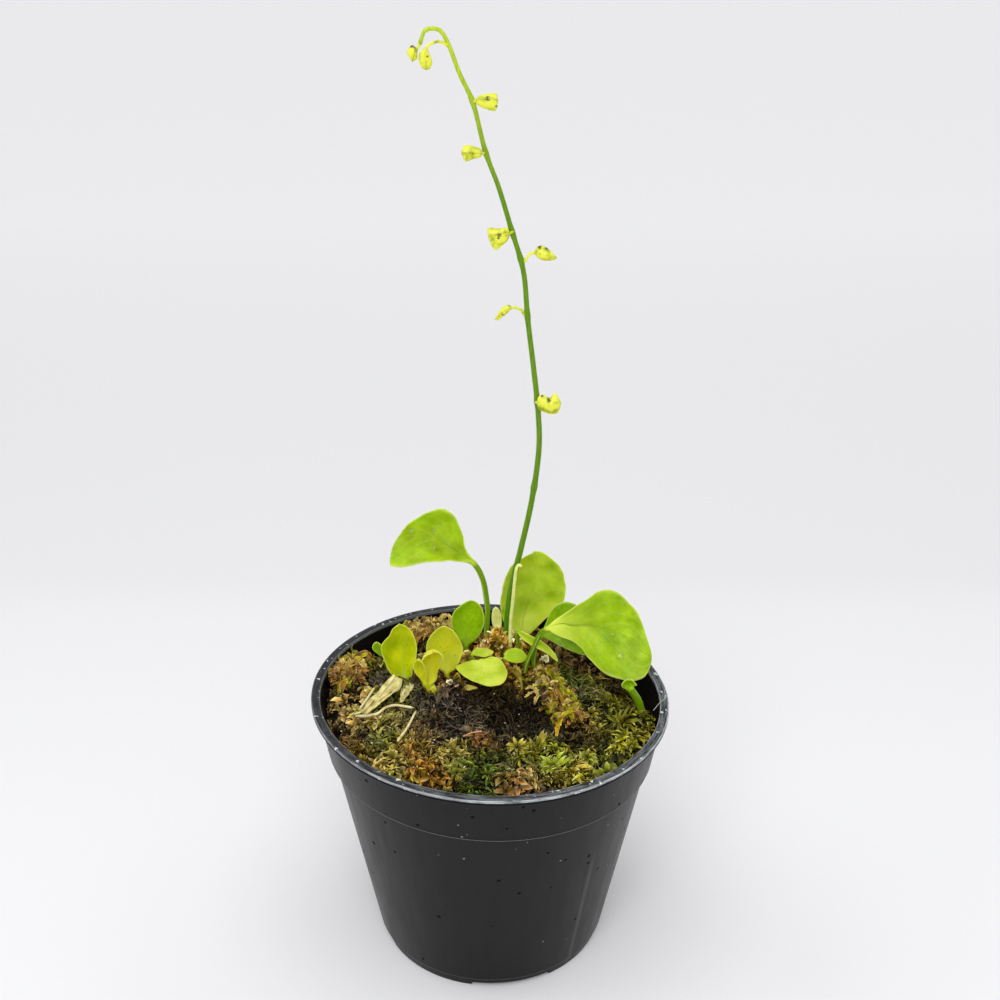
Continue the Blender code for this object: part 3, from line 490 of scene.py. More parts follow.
def rounded(outline, radius, steps=4):
    """The (r, z) outline with each inner corner rounded to about radius."""
    found = [Vector(outline[0])]
    for before, corner, after in zip(outline, outline[1:], outline[2:]):
        a, b, c = Vector(before), Vector(corner), Vector(after)
        cut = min(radius, (a - b).length * 0.45, (c - b).length * 0.45)
        start, end = b + (a - b).normalized() * cut, b + (c - b).normalized() * cut
        for k in range(steps + 1):
            t = k / steps
            found.append(start.lerp(b, t).lerp(b.lerp(end, t), t))
    found.append(Vector(outline[-1]))
    return found


def pot_outline(rim_width):
    """Half section of the pot from the middle of its floor, up inside, over the rim and down outside."""
    collar_top = POT_H - RIM_DROP
    foot_in = FOOT_R - FOOT_WIDTH
    inside = [(inner_r(z), z) for z in (FLOOR_TOP_Z, COLLAR_Z - 0.8, COLLAR_Z + 0.6, POT_H - 2.2)]
    rim = [
        (RIM_R - rim_width, POT_H - 0.4),
        (RIM_R - rim_width, POT_H),
        (RIM_R, POT_H - 0.05),
        (RIM_R, collar_top),
    ]
    outside = [
        (wall_r(collar_top) + COLLAR_STEP - 0.15, collar_top - 0.1),
        (wall_r(COLLAR_Z) + COLLAR_STEP, COLLAR_Z),
        (wall_r(COLLAR_Z) + 0.1, COLLAR_Z - 0.15),
        (wall_r(3.0), 3.0),
        (wall_r(2.4) - 0.35, 2.4),
        (FOOT_R - 0.5, 0.0),
        (foot_in, 0.0),
        (foot_in - 0.8, FLOOR_UNDER_Z),
    ]
    return rounded([(0.0, FLOOR_TOP_Z), *inside, *rim, *outside, (0.0, FLOOR_UNDER_Z)], 0.28)


def drill(radius, x=0.0, y=0.0):
    """A cutter for one drain hole."""
    bm, wide = bmesh.new(), radius * MM
    bmesh.ops.create_cone(bm, cap_ends=True, segments=28, radius1=wide, radius2=wide, depth=8 * MM)
    obj = put("drill", from_bmesh("drill", bm))
    obj.location = Vector((x, y, 2)) * MM
    return obj


def notcher(angle):
    """A cutter for one low slot in the foot ring."""
    bm = bmesh.new()
    bmesh.ops.create_cube(bm, size=MM)
    bmesh.ops.scale(bm, vec=(FOOT_WIDTH + 8, NOTCH_WIDTH, 2 * NOTCH_H), verts=bm.verts)
    obj = put("notcher", from_bmesh("notcher", bm))
    obj.location = heading(angle) * (FOOT_R - FOOT_WIDTH / 2) * MM
    obj.rotation_euler = (0, 0, angle)
    return obj


def pot_mesh(settings):
    """The pot: its half section turned by a Screw, cut by its drain holes and foot notches, then warped."""
    bm = bmesh.new()
    verts = [bm.verts.new((r * MM, 0, z * MM)) for r, z in pot_outline(settings.rim_width / MM)]
    for a, b in zip(verts, verts[1:]):
        bm.edges.new((a, b))
    pot = put("pot_form", from_bmesh("pot_outline", bm))
    turn = pot.modifiers.new("Turn", "SCREW")
    turn.axis = "Z"
    turn.steps = turn.render_steps = 200
    turn.use_merge_vertices = True
    turn.merge_threshold = 0.00001
    tools = [drill(CENTRE_DRAIN_R)]
    for k in range(DRAIN_COUNT):
        angle = 2 * math.pi * (k + 0.5) / DRAIN_COUNT
        tools.append(drill(DRAIN_R, DRAIN_RING_R * math.cos(angle), DRAIN_RING_R * math.sin(angle)))
    tools += [notcher(NOTCH_TURN + 2 * math.pi * k / NOTCH_COUNT) for k in range(NOTCH_COUNT)]
    for tool in tools:
        cut = pot.modifiers.new("Cut", "BOOLEAN")
        cut.operation = "DIFFERENCE"
        cut.object = tool
    graph = bpy.context.evaluated_depsgraph_get()
    mesh = bpy.data.meshes.new_from_object(pot.evaluated_get(graph))
    for obj in [pot, *tools]:
        bpy.data.objects.remove(obj)
    warp_rim(mesh, settings.warp / MM)
    face_outwards(mesh)
    mesh.set_sharp_from_angle(angle=math.radians(50))
    return mesh


def warp_rim(mesh, warp):
    """Sets the pot aslant, and lets its thin rim wave a little."""
    for vert in mesh.vertices:
        x, y, z = vert.co / MM
        angle = math.atan2(y, x)
        share = ease((z - COLLAR_Z - 6) / 8)
        wave = noise.noise(Vector((math.cos(angle) * 2.2, math.sin(angle) * 2.2, 3.0)))
        vert.co.z += (slant(x, y, z) - share * warp * (1 + wave)) * MM


def band(tree, value, low, high, soft):
    """1 where value lies between low and high, in millimetres, falling to 0 over soft; value is in metres."""
    rise = {"Value": value, "From Min": (low - soft) * MM, "From Max": low * MM}
    fall = {"Value": value, "From Min": (high + soft) * MM, "From Max": high * MM}
    both = {k: add(tree, "ShaderNodeMapRange", ends).outputs[0] for k, ends in enumerate((rise, fall))}
    return add(tree, "ShaderNodeMath", both, operation="MULTIPLY").outputs[0]


def moulded_polypropylene(settings):
    """Injection-moulded polypropylene: a satin near-black skin with a dusty haze, rubbed grey on its rim.

    The rim's flat top is lighter as a painted reflection of the sky, and its two edges carry painted highlight
    lines. The lip's underside is a painted shadow line, and the collar's step a painted highlight line with a
    painted shadow above it. There are dried drops, dark pits and one long moulding streak.
    """
    made, tree, shader = shaded("moulded_polypropylene")
    place = add(tree, "ShaderNodeTexCoord").outputs["Object"]
    split = add(tree, "ShaderNodeSeparateXYZ", {0: place}).outputs
    # The height over the foot, with the wall's slant taken out.
    lean = {0: place, 1: (-SLANT_X, -SLANT_Y, 0)}
    lean = add(tree, "ShaderNodeVectorMath", lean, operation="DOT_PRODUCT").outputs["Value"]
    lean = add(tree, "ShaderNodeMath", {0: lean, 1: SAG * MM}, operation="ADD").outputs[0]
    risen = {"Value": split["Z"], "From Max": (COLLAR_Z - 2.5) * MM}
    risen = add(tree, "ShaderNodeMapRange", risen).outputs[0]
    height = {0: lean, 1: risen, 2: split["Z"]}
    height = add(tree, "ShaderNodeMath", height, operation="MULTIPLY_ADD").outputs[0]
    flat = add(tree, "ShaderNodeCombineXYZ", {0: split["X"], 1: split["Y"]}).outputs[0]
    reach = add(tree, "ShaderNodeVectorMath", {0: flat}, operation="LENGTH").outputs["Value"]
    turn = add(tree, "ShaderNodeMath", {0: split["Y"], 1: split["X"]}, operation="ARCTAN2").outputs[0]
    # The rim: grey from wear and, on its flat top, lighter as a painted reflection of the sky, with painted
    # highlight lines along its two edges.
    top = band(tree, height, POT_H - 0.85, POT_H + 1, 0.15)
    rim = band(tree, reach, RIM_R - 2.35, RIM_R, 0.1)
    outer, inner = ((RIM_R - 0.22, RIM_R + 0.05), (RIM_R - 2.3, RIM_R - 2.1))
    edges = {0: band(tree, reach, *outer, 0.12), 1: band(tree, reach, *inner, 0.12)}
    edges = add(tree, "ShaderNodeMath", edges, operation="MAXIMUM").outputs[0]
    # The painted shadow line under the lip, and the painted highlight line on the collar's step with a painted
    # shadow above it.
    lip = band(tree, height, POT_H - 2.1, POT_H - 0.75, 0.15)
    under = {0: lip, 1: band(tree, reach, RIM_R - 2, RIM_R + 1, 0.1)}
    under = add(tree, "ShaderNodeMath", under, operation="MULTIPLY").outputs[0]
    outside = band(tree, reach, wall_r(COLLAR_Z) - 0.4, RIM_R, 0.1)
    step_highlight = band(tree, height, COLLAR_Z - 0.25, COLLAR_Z + 0.2, 0.1)
    shadow = band(tree, height, COLLAR_Z + 0.25, COLLAR_Z + 1.1, 0.25)
    # Noise: a haze, the rubbing that breaks up the rim, its nicks, torn outlines, grain and flow lines.
    around = add(tree, "ShaderNodeMath", {0: turn, 1: 5 * MM}, operation="MULTIPLY").outputs[0]
    around = add(tree, "ShaderNodeCombineXYZ", {0: around, 1: reach, 2: height}).outputs[0]
    drawn = add(tree, "ShaderNodeMapping", {"Vector": place, "Scale": (1, 1, 0.06)}).outputs[0]
    found = {}
    for key, vector, size, detail, uneven in (
        ("haze", place, 14, 5.0, 0.5),
        ("rubbed", around, 0.5, 5.0, 0.7),
        ("nicks", place, 1.6, 2.0, 0.5),
        ("torn", place, 0.35, 2.0, 0.5),
        ("grain", place, 0.9, 2.0, 0.5),
        ("flow", drawn, 3, 3.0, 0.5),
    ):
        links = {"Vector": vector, "Scale": per_mm(size), "Detail": detail, "Roughness": uneven}
        found[key] = add(tree, "ShaderNodeTexNoise", links).outputs["Fac"]
    # Dried drops, and small dark pits.
    for key, size in (("drop", 7), ("pit", 6.5)):
        links = {"Vector": place, "Scale": per_mm(size)}
        found[key] = add(tree, "ShaderNodeTexVoronoi", links).outputs["Distance"]
    # The rim is rubbed most at the front and on the right.
    handled = {0: place, 1: (1, -0.7, 0)}
    found["handled"] = add(tree, "ShaderNodeVectorMath", handled, operation="DOT_PRODUCT").outputs["Value"]
    # One long streak down the wall, where two flows of plastic met.
    off = add(tree, "ShaderNodeMath", {0: turn, 1: STREAK_TURN}, operation="SUBTRACT").outputs[0]
    found["streak"] = add(tree, "ShaderNodeMath", {0: off}, operation="ABSOLUTE").outputs[0]
    for key, low, high, bottom, top_value in (
        ("haze", 0.4, 0.7, 0.0, 1.0),
        ("rubbed", 0.4, 0.6, 0.0, 1.0),
        ("nicks", 0.66, 0.71, 0.0, 1.0),
        ("torn", 0.45, 0.55, 0.0, 1.0),
        ("flow", 0.3, 0.7, 0.34, 0.42),
        ("drop", 0.05, 0.03, 0.0, 1.0),
        ("pit", 0.09, 0.06, 0.0, 1.0),
        ("handled", -40 * MM, 35 * MM, 0.15, 1.0),
        ("streak", 0.03, 0.0, 0.0, 1.0),
    ):
        ends = {"Value": found[key], "From Min": low, "From Max": high, "To Min": bottom, "To Max": top_value}
        found[key] = add(tree, "ShaderNodeMapRange", ends).outputs[0]
    drop, pit, torn = found["drop"], found["pit"], found["torn"]
    worn = {0: found["rubbed"], 1: found["handled"]}
    worn = add(tree, "ShaderNodeMath", worn, operation="MULTIPLY").outputs[0]
    base = tuple(settings.plastic)
    for factors, colour in (
        ((found["haze"],), [c * 1.4 for c in settings.plastic[:3]] + [1.0]),
        # The rim's flat top: a little lighter as a painted reflection of the sky, and grey from wear.
        ((top, rim, 0.9), linear("#121314")),
        ((top, rim, worn, 0.6), linear("#888c91")),
        # Painted highlight lines along the rim's two edges, brighter where the rim is rubbed.
        ((top, edges, 0.35), tuple(settings.edge_highlight)),
        ((top, edges, worn, 0.8), linear("#c8cbce")),
        ((top, rim, found["nicks"], 0.9), linear("#e2e4e6")),
        # A painted shadow under the lip and above the collar's step, and a painted highlight line on the step.
        ((under, 0.95), linear("#020203")),
        ((shadow, outside, 0.8), linear("#020203")),
        ((step_highlight, outside, 0.55), linear("#8a8c8e")),
        ((found["streak"], band(tree, height, 6, 34, 10), 0.5), linear("#55575a")),
        ((drop, torn, 0.8), linear("#b4b6b8")),
        ((pit, torn, 0.9), linear("#020203")),
    ):
        share = factors[0]
        for factor in factors[1:]:
            share = add(tree, "ShaderNodeMath", {0: share, 1: factor}, operation="MULTIPLY").outputs[0]
        base = add(tree, "ShaderNodeMix", {0: share, 6: base, 7: colour}, data_type="RGBA").outputs[2]
    dull = add(tree, "ShaderNodeMath", {0: pit, 1: under}, operation="MAXIMUM").outputs[0]
    rough = add(tree, "ShaderNodeMix", {0: dull, 2: found["flow"], 3: 0.95}).outputs[0]
    bump = {"Height": found["grain"], "Strength": 0.1, "Distance": 0.05 * MM}
    bump = add(tree, "ShaderNodeBump", bump).outputs[0]
    raised = add(tree, "ShaderNodeMath", {0: drop, 1: pit}, operation="SUBTRACT").outputs[0]
    bump = {"Height": raised, "Strength": 0.5, "Distance": 0.15 * MM, "Normal": bump}
    bump = add(tree, "ShaderNodeBump", bump).outputs[0]
    links = {"Base Color": base, "Roughness": rough, "Normal": bump, "IOR": 1.49, "Specular IOR Level": 0.17}
    plug(tree, shader, links)
    return made


# ---------------------------------------------------------------- moss


def moss_height(x, y):
    """Height of the top of the moss at (x, y)."""
    z = MOSS_LEVEL
    for cx, cy, rise, spread in MOSS_SWELLS:
        z += rise * math.exp(-((x - cx) ** 2 + (y - cy) ** 2) / (2 * spread**2))
    z += RIPPLE * noise.noise(Vector((x / RIPPLE_SIZE, y / RIPPLE_SIZE, 0.5)))
    return z


def beside(x, y, places):
    """The distance of (x, y) from the line through places."""
    here, least = Vector((x, y)), math.inf
    for a, b in zip(places, places[1:]):
        start, run = Vector(a), Vector(b) - Vector(a)
        share = min(max((here - start).dot(run) / run.length_squared, 0.0), 1.0)
        least = min(least, (start + run * share - here).length)
    return least


def relief(x, y):
    """How far the hummocks rise over moss_height at (x, y), and how deep in a gap the place is, 0 to 1."""
    drift = Vector((x, y, 0)) / 8
    bent_x = x + WANDER * noise.noise(drift + Vector((3, 1, 0)))
    bent_y = y + WANDER * noise.noise(drift + Vector((8, 5, 0)))
    first, second = noise.voronoi(Vector((bent_x, bent_y, 0)) / HUMMOCK_SIZE)[0][:2]
    gap = near(second - first, 0.14)
    rise = HUMMOCK_H * (0.45 - first) - GAP_DEPTH * gap
    pressed = max(near(beside(x, y, places), STOLON_BED) for places, _ in STOLONS.values())
    for cx, cy, depth, spread in HOLLOWS:
        inside = near(math.hypot(x - cx, y - cy), spread)
        rise -= depth * inside
        gap = max(gap, 0.75 * inside)
    for cx, cy, height, spread in TUSSOCKS:
        rise += height * near(math.hypot(x - cx, y - cy), spread)
    return mix(rise, -STOLON_DENT, pressed), min(gap * (1 - pressed), 1.0)


def hummock_height(x, y):
    return moss_height(x, y) + relief(x, y)[0]


def ground_height(x, y):
    """The wet ground that shows between the heads: sunk a little under them and broken up."""
    lumps = noise.fractal(Vector((x / 2.6, y / 2.6, 4.0)), 0.9, 2.0, 4)
    return hummock_height(x, y) - 0.6 + 0.7 * lumps


def moss_fields(x, y, palette):
    """The patches' blended colour at (x, y), and the share of each kind of growth there."""
    drift = Vector((x, y, 0)) / 6
    fine = Vector((x, y, 4)) / 2.2
    x, y = (
        x + WANDER * noise.noise(drift) + FRAY * noise.noise(fine),
        y + WANDER * noise.noise(drift + Vector((7, 3, 0))) + FRAY * noise.noise(fine + Vector((5, 2, 0))),
    )
    total, colour = 1e-9, Vector((0, 0, 0))
    shares = dict.fromkeys(GROWTH_KINDS, 0.0)
    for cx, cy, spread, name, growth in MOSS_PATCHES:
        weight = near(math.hypot(x - cx, y - cy), spread) ** 1.6 + 1e-12
        total += weight
        colour += Vector(palette[name][:3]) * weight
        shares[growth] += weight
    return colour / total, {key: value / total for key, value in shares.items()}


def round_bed(rings, sectors, height):
    """Points and faces of a round bed: its middle, then rings of sectors points out to the pot's wall."""
    points, faces = [(0, 0, height(0, 0))], []
    for ring in range(1, rings + 1):
        for k in range(sectors):
            angle = 2 * math.pi * k / sectors
            reach = (inner_r(MOSS_LEVEL) - 0.35) * ring / rings
            x, y = reach * math.cos(angle), reach * math.sin(angle)
            points.append((x, y, height(x, y)))
    for k in range(sectors):
        j = (k + 1) % sectors
        faces.append((0, 1 + k, 1 + j))
        for ring in range(rings - 1):
            low, high = 1 + ring * sectors, 1 + (ring + 1) * sectors
            faces.append((low + k, high + k, high + j, low + j))
    return points, faces


def moss_ground_mesh():
    """The closed body of the moss: a broken-up top and a plain underside that the pot hides."""
    rings, sectors, depth = 70, 200, 9.0
    points, faces = round_bed(rings, sectors, ground_height)
    low = len(points)
    edge = low - sectors
    for x, y, _ in points[edge:]:
        shrink = (inner_r(MOSS_LEVEL - depth) - 0.4) / math.hypot(x, y)
        points.append((x * shrink, y * shrink, MOSS_LEVEL - depth))
    for k in range(sectors):
        j = (k + 1) % sectors
        faces.append((edge + k, low + k, low + j, edge + j))
    faces.append(tuple(range(low, low + sectors)))
    return closed_mesh("moss_ground", points, faces)


def growth_field(palette):
    """The surface that the moss grows on, with its colour and the share of each growth on its points.

    Its colour is painted toward the peat in the gaps, the hollows and the low places: painted shade.
    """
    points, faces = round_bed(rings=56, sectors=176, height=hummock_height)
    peat = Vector(palette["peat"][:3])
    colours, kinds = [], {key: [] for key in (*GROWTH_KINDS, "mat")}
    for x, y, _ in points:
        colour, shares = moss_fields(x, y, palette)
        rise, gap = relief(x, y)
        # Painted shade: in the gaps, the hollows and the low places the colour is painted toward the peat.
        shade = max(0.92 * gap, 0.5 * ease(-rise / 2.5))
        colours.extend((*colour.lerp(peat, shade), 1.0))
        edge = 1.0 - ease((math.hypot(x, y) - 39.5) / 2.5)
        for key in GROWTH_KINDS:
            kinds[key].append(ease(shares[key] * 1.7) * edge * (1 - 0.75 * gap))
        kinds["mat"].append(1.0 - ease((math.hypot(x, y) - 41.0) / 1.5))
    mesh = flat_mesh("growth_field", points, faces)
    paint(mesh, colours)
    note(mesh, **kinds)
    return mesh


def leaflet(points, faces, reach, root, angle, length, width, rise, fall, swerve):
    """Adds one keeled leaflet: it leaves root at the slope rise, and bends to the slope fall at its tip."""
    a, place = len(points), root.copy()
    points.append(place.copy())
    # reach runs from the root to the tip; the moss's finish paints shade low on it and a highlight at the tip.
    reach.append(0.0)
    for share, wide in ((0.38, 1.0), (0.74, 0.8), (1.0, 0.0)):
        slope = mix(rise, fall, share)
        outward = heading(angle + swerve * share)
        place += (outward * math.cos(slope) + UP * math.sin(slope)) * (length * 0.36)
        if wide:
            across = outward.cross(UP) * (width * wide / 2)
            lift = (UP * math.cos(slope) - outward * math.sin(slope)) * (width * 0.22 * wide)
            points.extend([place - across + lift, place - lift, place + across + lift])
            reach.extend([share + 0.1, share - 0.1, share + 0.1])
        else:
            points.append(place.copy())
            reach.append(1.0)
    faces.extend([(a, a + 1, a + 2), (a, a + 2, a + 3)])
    faces.extend([(a + 1, a + 4, a + 5, a + 2), (a + 2, a + 5, a + 6, a + 3)])
    faces.extend([(a + 4, a + 7, a + 5), (a + 5, a + 7, a + 6)])


def tuft_mesh(name, seed, whorls):
    """A head of leaflets; each whorl is (count, height, length, width, rise, fall, swerve)."""
    pick = random.Random(seed)
    points, faces, reach = [], [], []
    for count, height, length, width, rise, fall, swerve in whorls:
        first = pick.uniform(0, 2 * math.pi)
        for k in range(count):
            angle = first + 2 * math.pi * k / count + pick.uniform(-0.35, 0.35)
            size = length * pick.uniform(0.7, 1.2)
            slope = math.radians(rise + pick.uniform(-14, 14))
            bend = math.radians(fall + pick.uniform(-25, 25))
            root = heading(angle) * (0.12 * length) + UP * height
            leaflet(points, faces, reach, root, angle, size, width, slope, bend, swerve * pick.uniform(-1, 1))
    return open_mesh(name, points, faces, reach=reach)


GROWTHS = {
    # count, height, length, width, slope at the root and at the tip in degrees, and swerve of each whorl
    "star": ((6, 0.1, 3.0, 1.0, 36, -30, 0.5), (4, 0.5, 2.0, 0.8, 64, 5, 0.5)),
    "plume": ((8, 0.1, 4.2, 0.85, 40, -34, 0.7), (4, 0.6, 2.8, 0.7, 68, -5, 0.7)),
    "curl": ((4, 0.0, 3.4, 1.9, 50, -60, 0.9), (2, 0.5, 2.6, 1.5, 84, -30, 1.2)),
    "fibre": ((6, 0.15, 3.6, 0.3, 26, -26, 1.8), (3, 0.3, 2.6, 0.24, 60, 10, 1.4)),
    "mat": ((4, 0.0, 1.9, 0.7, 40, -25, 0.8), (2, 0.2, 1.4, 0.6, 70, 15, 0.8)),
}
HEAD_VARIANTS = 5
# More points than the least distance between heads ever lets through, to the square metre.
FULL_DENSITY = 900000.0


def scatter_tree(growth, finish):
    """A Geometry Nodes tree that plants heads of one growth on a field."""
    tree = bpy.data.node_groups.new(f"{growth}_growth", "GeometryNodeTree")
    for name, kind in (
        ("Field", "Geometry"),
        *[(name, "Float") for name in ("Spacing", "Smallest", "Largest", "Tilt")],
        ("Seed", "Int"),
        ("Heads", "Collection"),
    ):
        tree.interface.new_socket(name, in_out="INPUT", socket_type=f"NodeSocket{kind}")
    tree.interface.new_socket("Growth", in_out="OUTPUT", socket_type="NodeSocketGeometry")

    given = add(tree, "NodeGroupInput").outputs
    share = add(tree, "GeometryNodeInputNamedAttribute", {"Name": growth}, data_type="FLOAT").outputs[0]
    field = {"Mesh": given["Field"], "Distance Min": given["Spacing"], "Density Max": FULL_DENSITY}
    field.update({"Density Factor": share, "Seed": given["Seed"]})
    planted = add(tree, "GeometryNodeDistributePointsOnFaces", field, distribute_method="POISSON").outputs
    down = add(tree, "ShaderNodeMath", {0: given["Tilt"], 1: -1.0}, operation="MULTIPLY").outputs[0]
    least = add(tree, "ShaderNodeCombineXYZ", {0: down, 1: down}).outputs[0]
    most = {0: given["Tilt"], 1: given["Tilt"], 2: 2 * math.pi}
    most = add(tree, "ShaderNodeCombineXYZ", most).outputs[0]
    lean = {0: least, 1: most, "Seed": given["Seed"]}
    lean = add(tree, "FunctionNodeRandomValue", lean, data_type="FLOAT_VECTOR").outputs[0]
    turned = {"Rotation": planted["Rotation"], "Rotate By": lean}
    turned = add(tree, "FunctionNodeRotateRotation", turned, rotation_space="LOCAL").outputs[0]
    size = {2: given["Smallest"], 3: given["Largest"], "Seed": given["Seed"]}
    size = add(tree, "FunctionNodeRandomValue", size, data_type="FLOAT").outputs[1]
    heads = {"Collection": given["Heads"], "Separate Children": True, "Reset Children": True}
    heads = add(tree, "GeometryNodeCollectionInfo", heads).outputs[0]
    copies = {"Points": planted["Points"], "Instance": heads, "Pick Instance": True}
    copies = {**copies, "Rotation": turned, "Scale": size}
    copies = add(tree, "GeometryNodeInstanceOnPoints", copies).outputs[0]
    tint = add(tree, "FunctionNodeRandomValue", {2: 0.0, 3: 1.0, "Seed": 3}, data_type="FLOAT").outputs[1]
    tinted = {"Geometry": copies, "Name": "tint", "Value": tint}
    tinted = add(tree, "GeometryNodeStoreNamedAttribute", tinted, data_type="FLOAT", domain="INSTANCE").outputs[0]
    real = add(tree, "GeometryNodeRealizeInstances", {"Geometry": tinted}).outputs[0]
    painted = add(tree, "GeometryNodeSetMaterial", {"Geometry": real, "Material": finish}).outputs[0]
    add(tree, "NodeGroupOutput", {"Growth": painted})
    return tree


def grow(name, field, growth, finish, spacing, smallest, largest, tilt, seed):
    """Plants heads on the field where its growth attribute says, and returns them as one plain mesh."""
    heads = bpy.data.collections.new(f"{growth}_heads")
    for k in range(HEAD_VARIANTS):
        head = f"{growth}_head_{k}"
        heads.objects.link(bpy.data.objects.new(head, tuft_mesh(head, 11 * k + len(growth), GROWTHS[growth])))
    tree = scatter_tree(growth, finish)
    obj = put(name, field)
    planter = obj.modifiers.new("Planter", "NODES")
    planter.node_group = tree
    values = {"Spacing": spacing * MM, "Smallest": smallest, "Largest": largest, "Tilt": math.radians(tilt)}
    values.update({"Seed": seed, "Heads": heads})
    for item in tree.interface.items_tree:
        if item.in_out == "INPUT" and item.name in values:
            planter[item.identifier] = values[item.name]
    graph = bpy.context.evaluated_depsgraph_get()
    made = bpy.data.meshes.new_from_object(obj.evaluated_get(graph))
    for used in [obj, *heads.objects]:
        bpy.data.objects.remove(used)
    bpy.data.collections.remove(heads)
    made.name = name
    return made


def keep_in_pot(mesh):
    """Presses growth that would pass through the pot's wall back against its inside."""
    for vert in mesh.vertices:
        x, y, z = vert.co / MM
        reach = math.hypot(x, y)
        z -= slant(x, y, z)
        limit = (inner_r(min(z, POT_H)) if z < POT_H - 2.0 else RIM_R - 2.4) - 0.15
        if reach > limit:
            vert.co.x *= limit / reach
            vert.co.y *= limit / reach


def wet_peat(settings):
    """Soaked peat and dead moss: nearly black, uneven, with wet glints."""
    made, tree, shader = shaded("wet_peat")
    place = add(tree, "ShaderNodeTexCoord").outputs["Object"]
    crumbs = add(tree, "ShaderNodeTexNoise", {"Vector": place, "Scale": per_mm(1.4), "Detail": 6.0})
    wet = add(tree, "ShaderNodeTexNoise", {"Vector": place, "Scale": per_mm(5), "Detail": 3.0})
    amount = {"Value": crumbs.outputs["Fac"], "From Min": 0.5, "From Max": 0.75}
    amount = add(tree, "ShaderNodeMapRange", amount)
    brown = [c * 2.0 for c in settings.peat[:3]] + [1.0]
    base = {0: amount.outputs[0], 6: tuple(settings.peat), 7: brown}
    base = add(tree, "ShaderNodeMix", base, data_type="RGBA")
    rough = {"Value": wet.outputs["Fac"], "From Min": 0.4, "From Max": 0.6, "To Min": 0.25, "To Max": 0.7}
    rough = add(tree, "ShaderNodeMapRange", rough)
    bump = {"Height": crumbs.outputs["Fac"], "Strength": 0.8, "Distance": 0.6 * MM}
    bump = add(tree, "ShaderNodeBump", bump)
    links = {
        "Base Color": base.outputs[2], "Roughness": rough.outputs[0], "Normal": bump.outputs[0],
        "Specular IOR Level": 0.08,
    }
    plug(tree, shader, links)
    return made


def moss_leaflets(settings):
    """Living and dead moss leaflets: thin and wet, painted toward the peat at the base as painted shade
    and much paler at the tip as a painted highlight.
    """
    made, tree, shader = shaded("moss_leaflets")
    place = add(tree, "ShaderNodeTexCoord").outputs["Object"]
    patch = add(tree, "ShaderNodeAttribute", attribute_name="moss_colour").outputs["Color"]
    reach = add(tree, "ShaderNodeAttribute", attribute_name="reach").outputs["Fac"]
    tint = add(tree, "ShaderNodeAttribute", attribute_name="tint").outputs["Fac"]
    blotch = add(tree, "ShaderNodeTexNoise", {"Vector": place, "Scale": per_mm(2.4), "Detail": 3.0})
    hue = add(tree, "ShaderNodeMapRange", {"Value": tint, "To Min": 0.484, "To Max": 0.53})
    value = {"Value": blotch.outputs["Fac"], "From Min": 0.35, "From Max": 0.65, "To Min": 0.5, "To Max": 1.65}
    value = add(tree, "ShaderNodeMapRange", value)
    varied = {"Hue": hue.outputs[0], "Saturation": 1.13, "Value": value.outputs[0], "Color": patch}
    varied = add(tree, "ShaderNodeHueSaturation", varied)
    # Painted shade: near its base each leaflet is painted most of the way to the peat.
    root = {0: 0.85, 6: varied.outputs[0], 7: tuple(settings.peat)}
    root = add(tree, "ShaderNodeMix", root, data_type="RGBA")
    climb = add(tree, "ShaderNodeMapRange", {"Value": reach, "From Min": 0.1, "From Max": 0.62})
    body = {0: climb.outputs[0], 6: root.outputs[2], 7: varied.outputs[0]}
    body = add(tree, "ShaderNodeMix", body, data_type="RGBA")
    # Painted highlight: the tips and the pale edges of strips are painted much lighter.
    tip_highlight = {"Saturation": 0.72, "Value": 2.1, "Color": varied.outputs[0]}
    tip_highlight = add(tree, "ShaderNodeHueSaturation", tip_highlight)
    tipped = {"Value": reach, "From Min": 0.66, "From Max": 1.0, "To Max": 0.85}
    tipped = add(tree, "ShaderNodeMapRange", tipped)
    base = {0: tipped.outputs[0], 6: body.outputs[2], 7: tip_highlight.outputs[0]}
    base = add(tree, "ShaderNodeMix", base, data_type="RGBA")
    rough = add(tree, "ShaderNodeMapRange", {"Value": tint, "To Min": 0.25, "To Max": 0.6})
    links = {"Base Color": base.outputs[2], "Roughness": rough.outputs[0], "Specular IOR Level": 0.18}
    plug(tree, shader, links)
    return made


def grain_mesh(count, seed):
    """Small pale grains lying on the hummocks, for the white specks on the moss."""
    pick = random.Random(seed)
    bm = bmesh.new()
    for _ in range(count):
        angle, reach = pick.uniform(0, 2 * math.pi), 41 * math.sqrt(pick.random())
        x, y = reach * math.cos(angle), reach * math.sin(angle)
        spot = Vector((x, y, hummock_height(x, y) + pick.uniform(0.5, 1.3)))
        turn = Matrix.Rotation(pick.uniform(0, 3), 4, (pick.random(), pick.random(), 0.5))
        size = (pick.uniform(0.18, 0.42), pick.uniform(0.14, 0.26), pick.uniform(0.1, 0.2), 1)
        form = Matrix.Translation(spot) @ turn @ Matrix.Diagonal(size)
        bmesh.ops.create_icosphere(bm, subdivisions=1, radius=1.0, matrix=form)
    bmesh.ops.scale(bm, vec=(MM, MM, MM), verts=bm.verts)
    return from_bmesh("grit", bm)


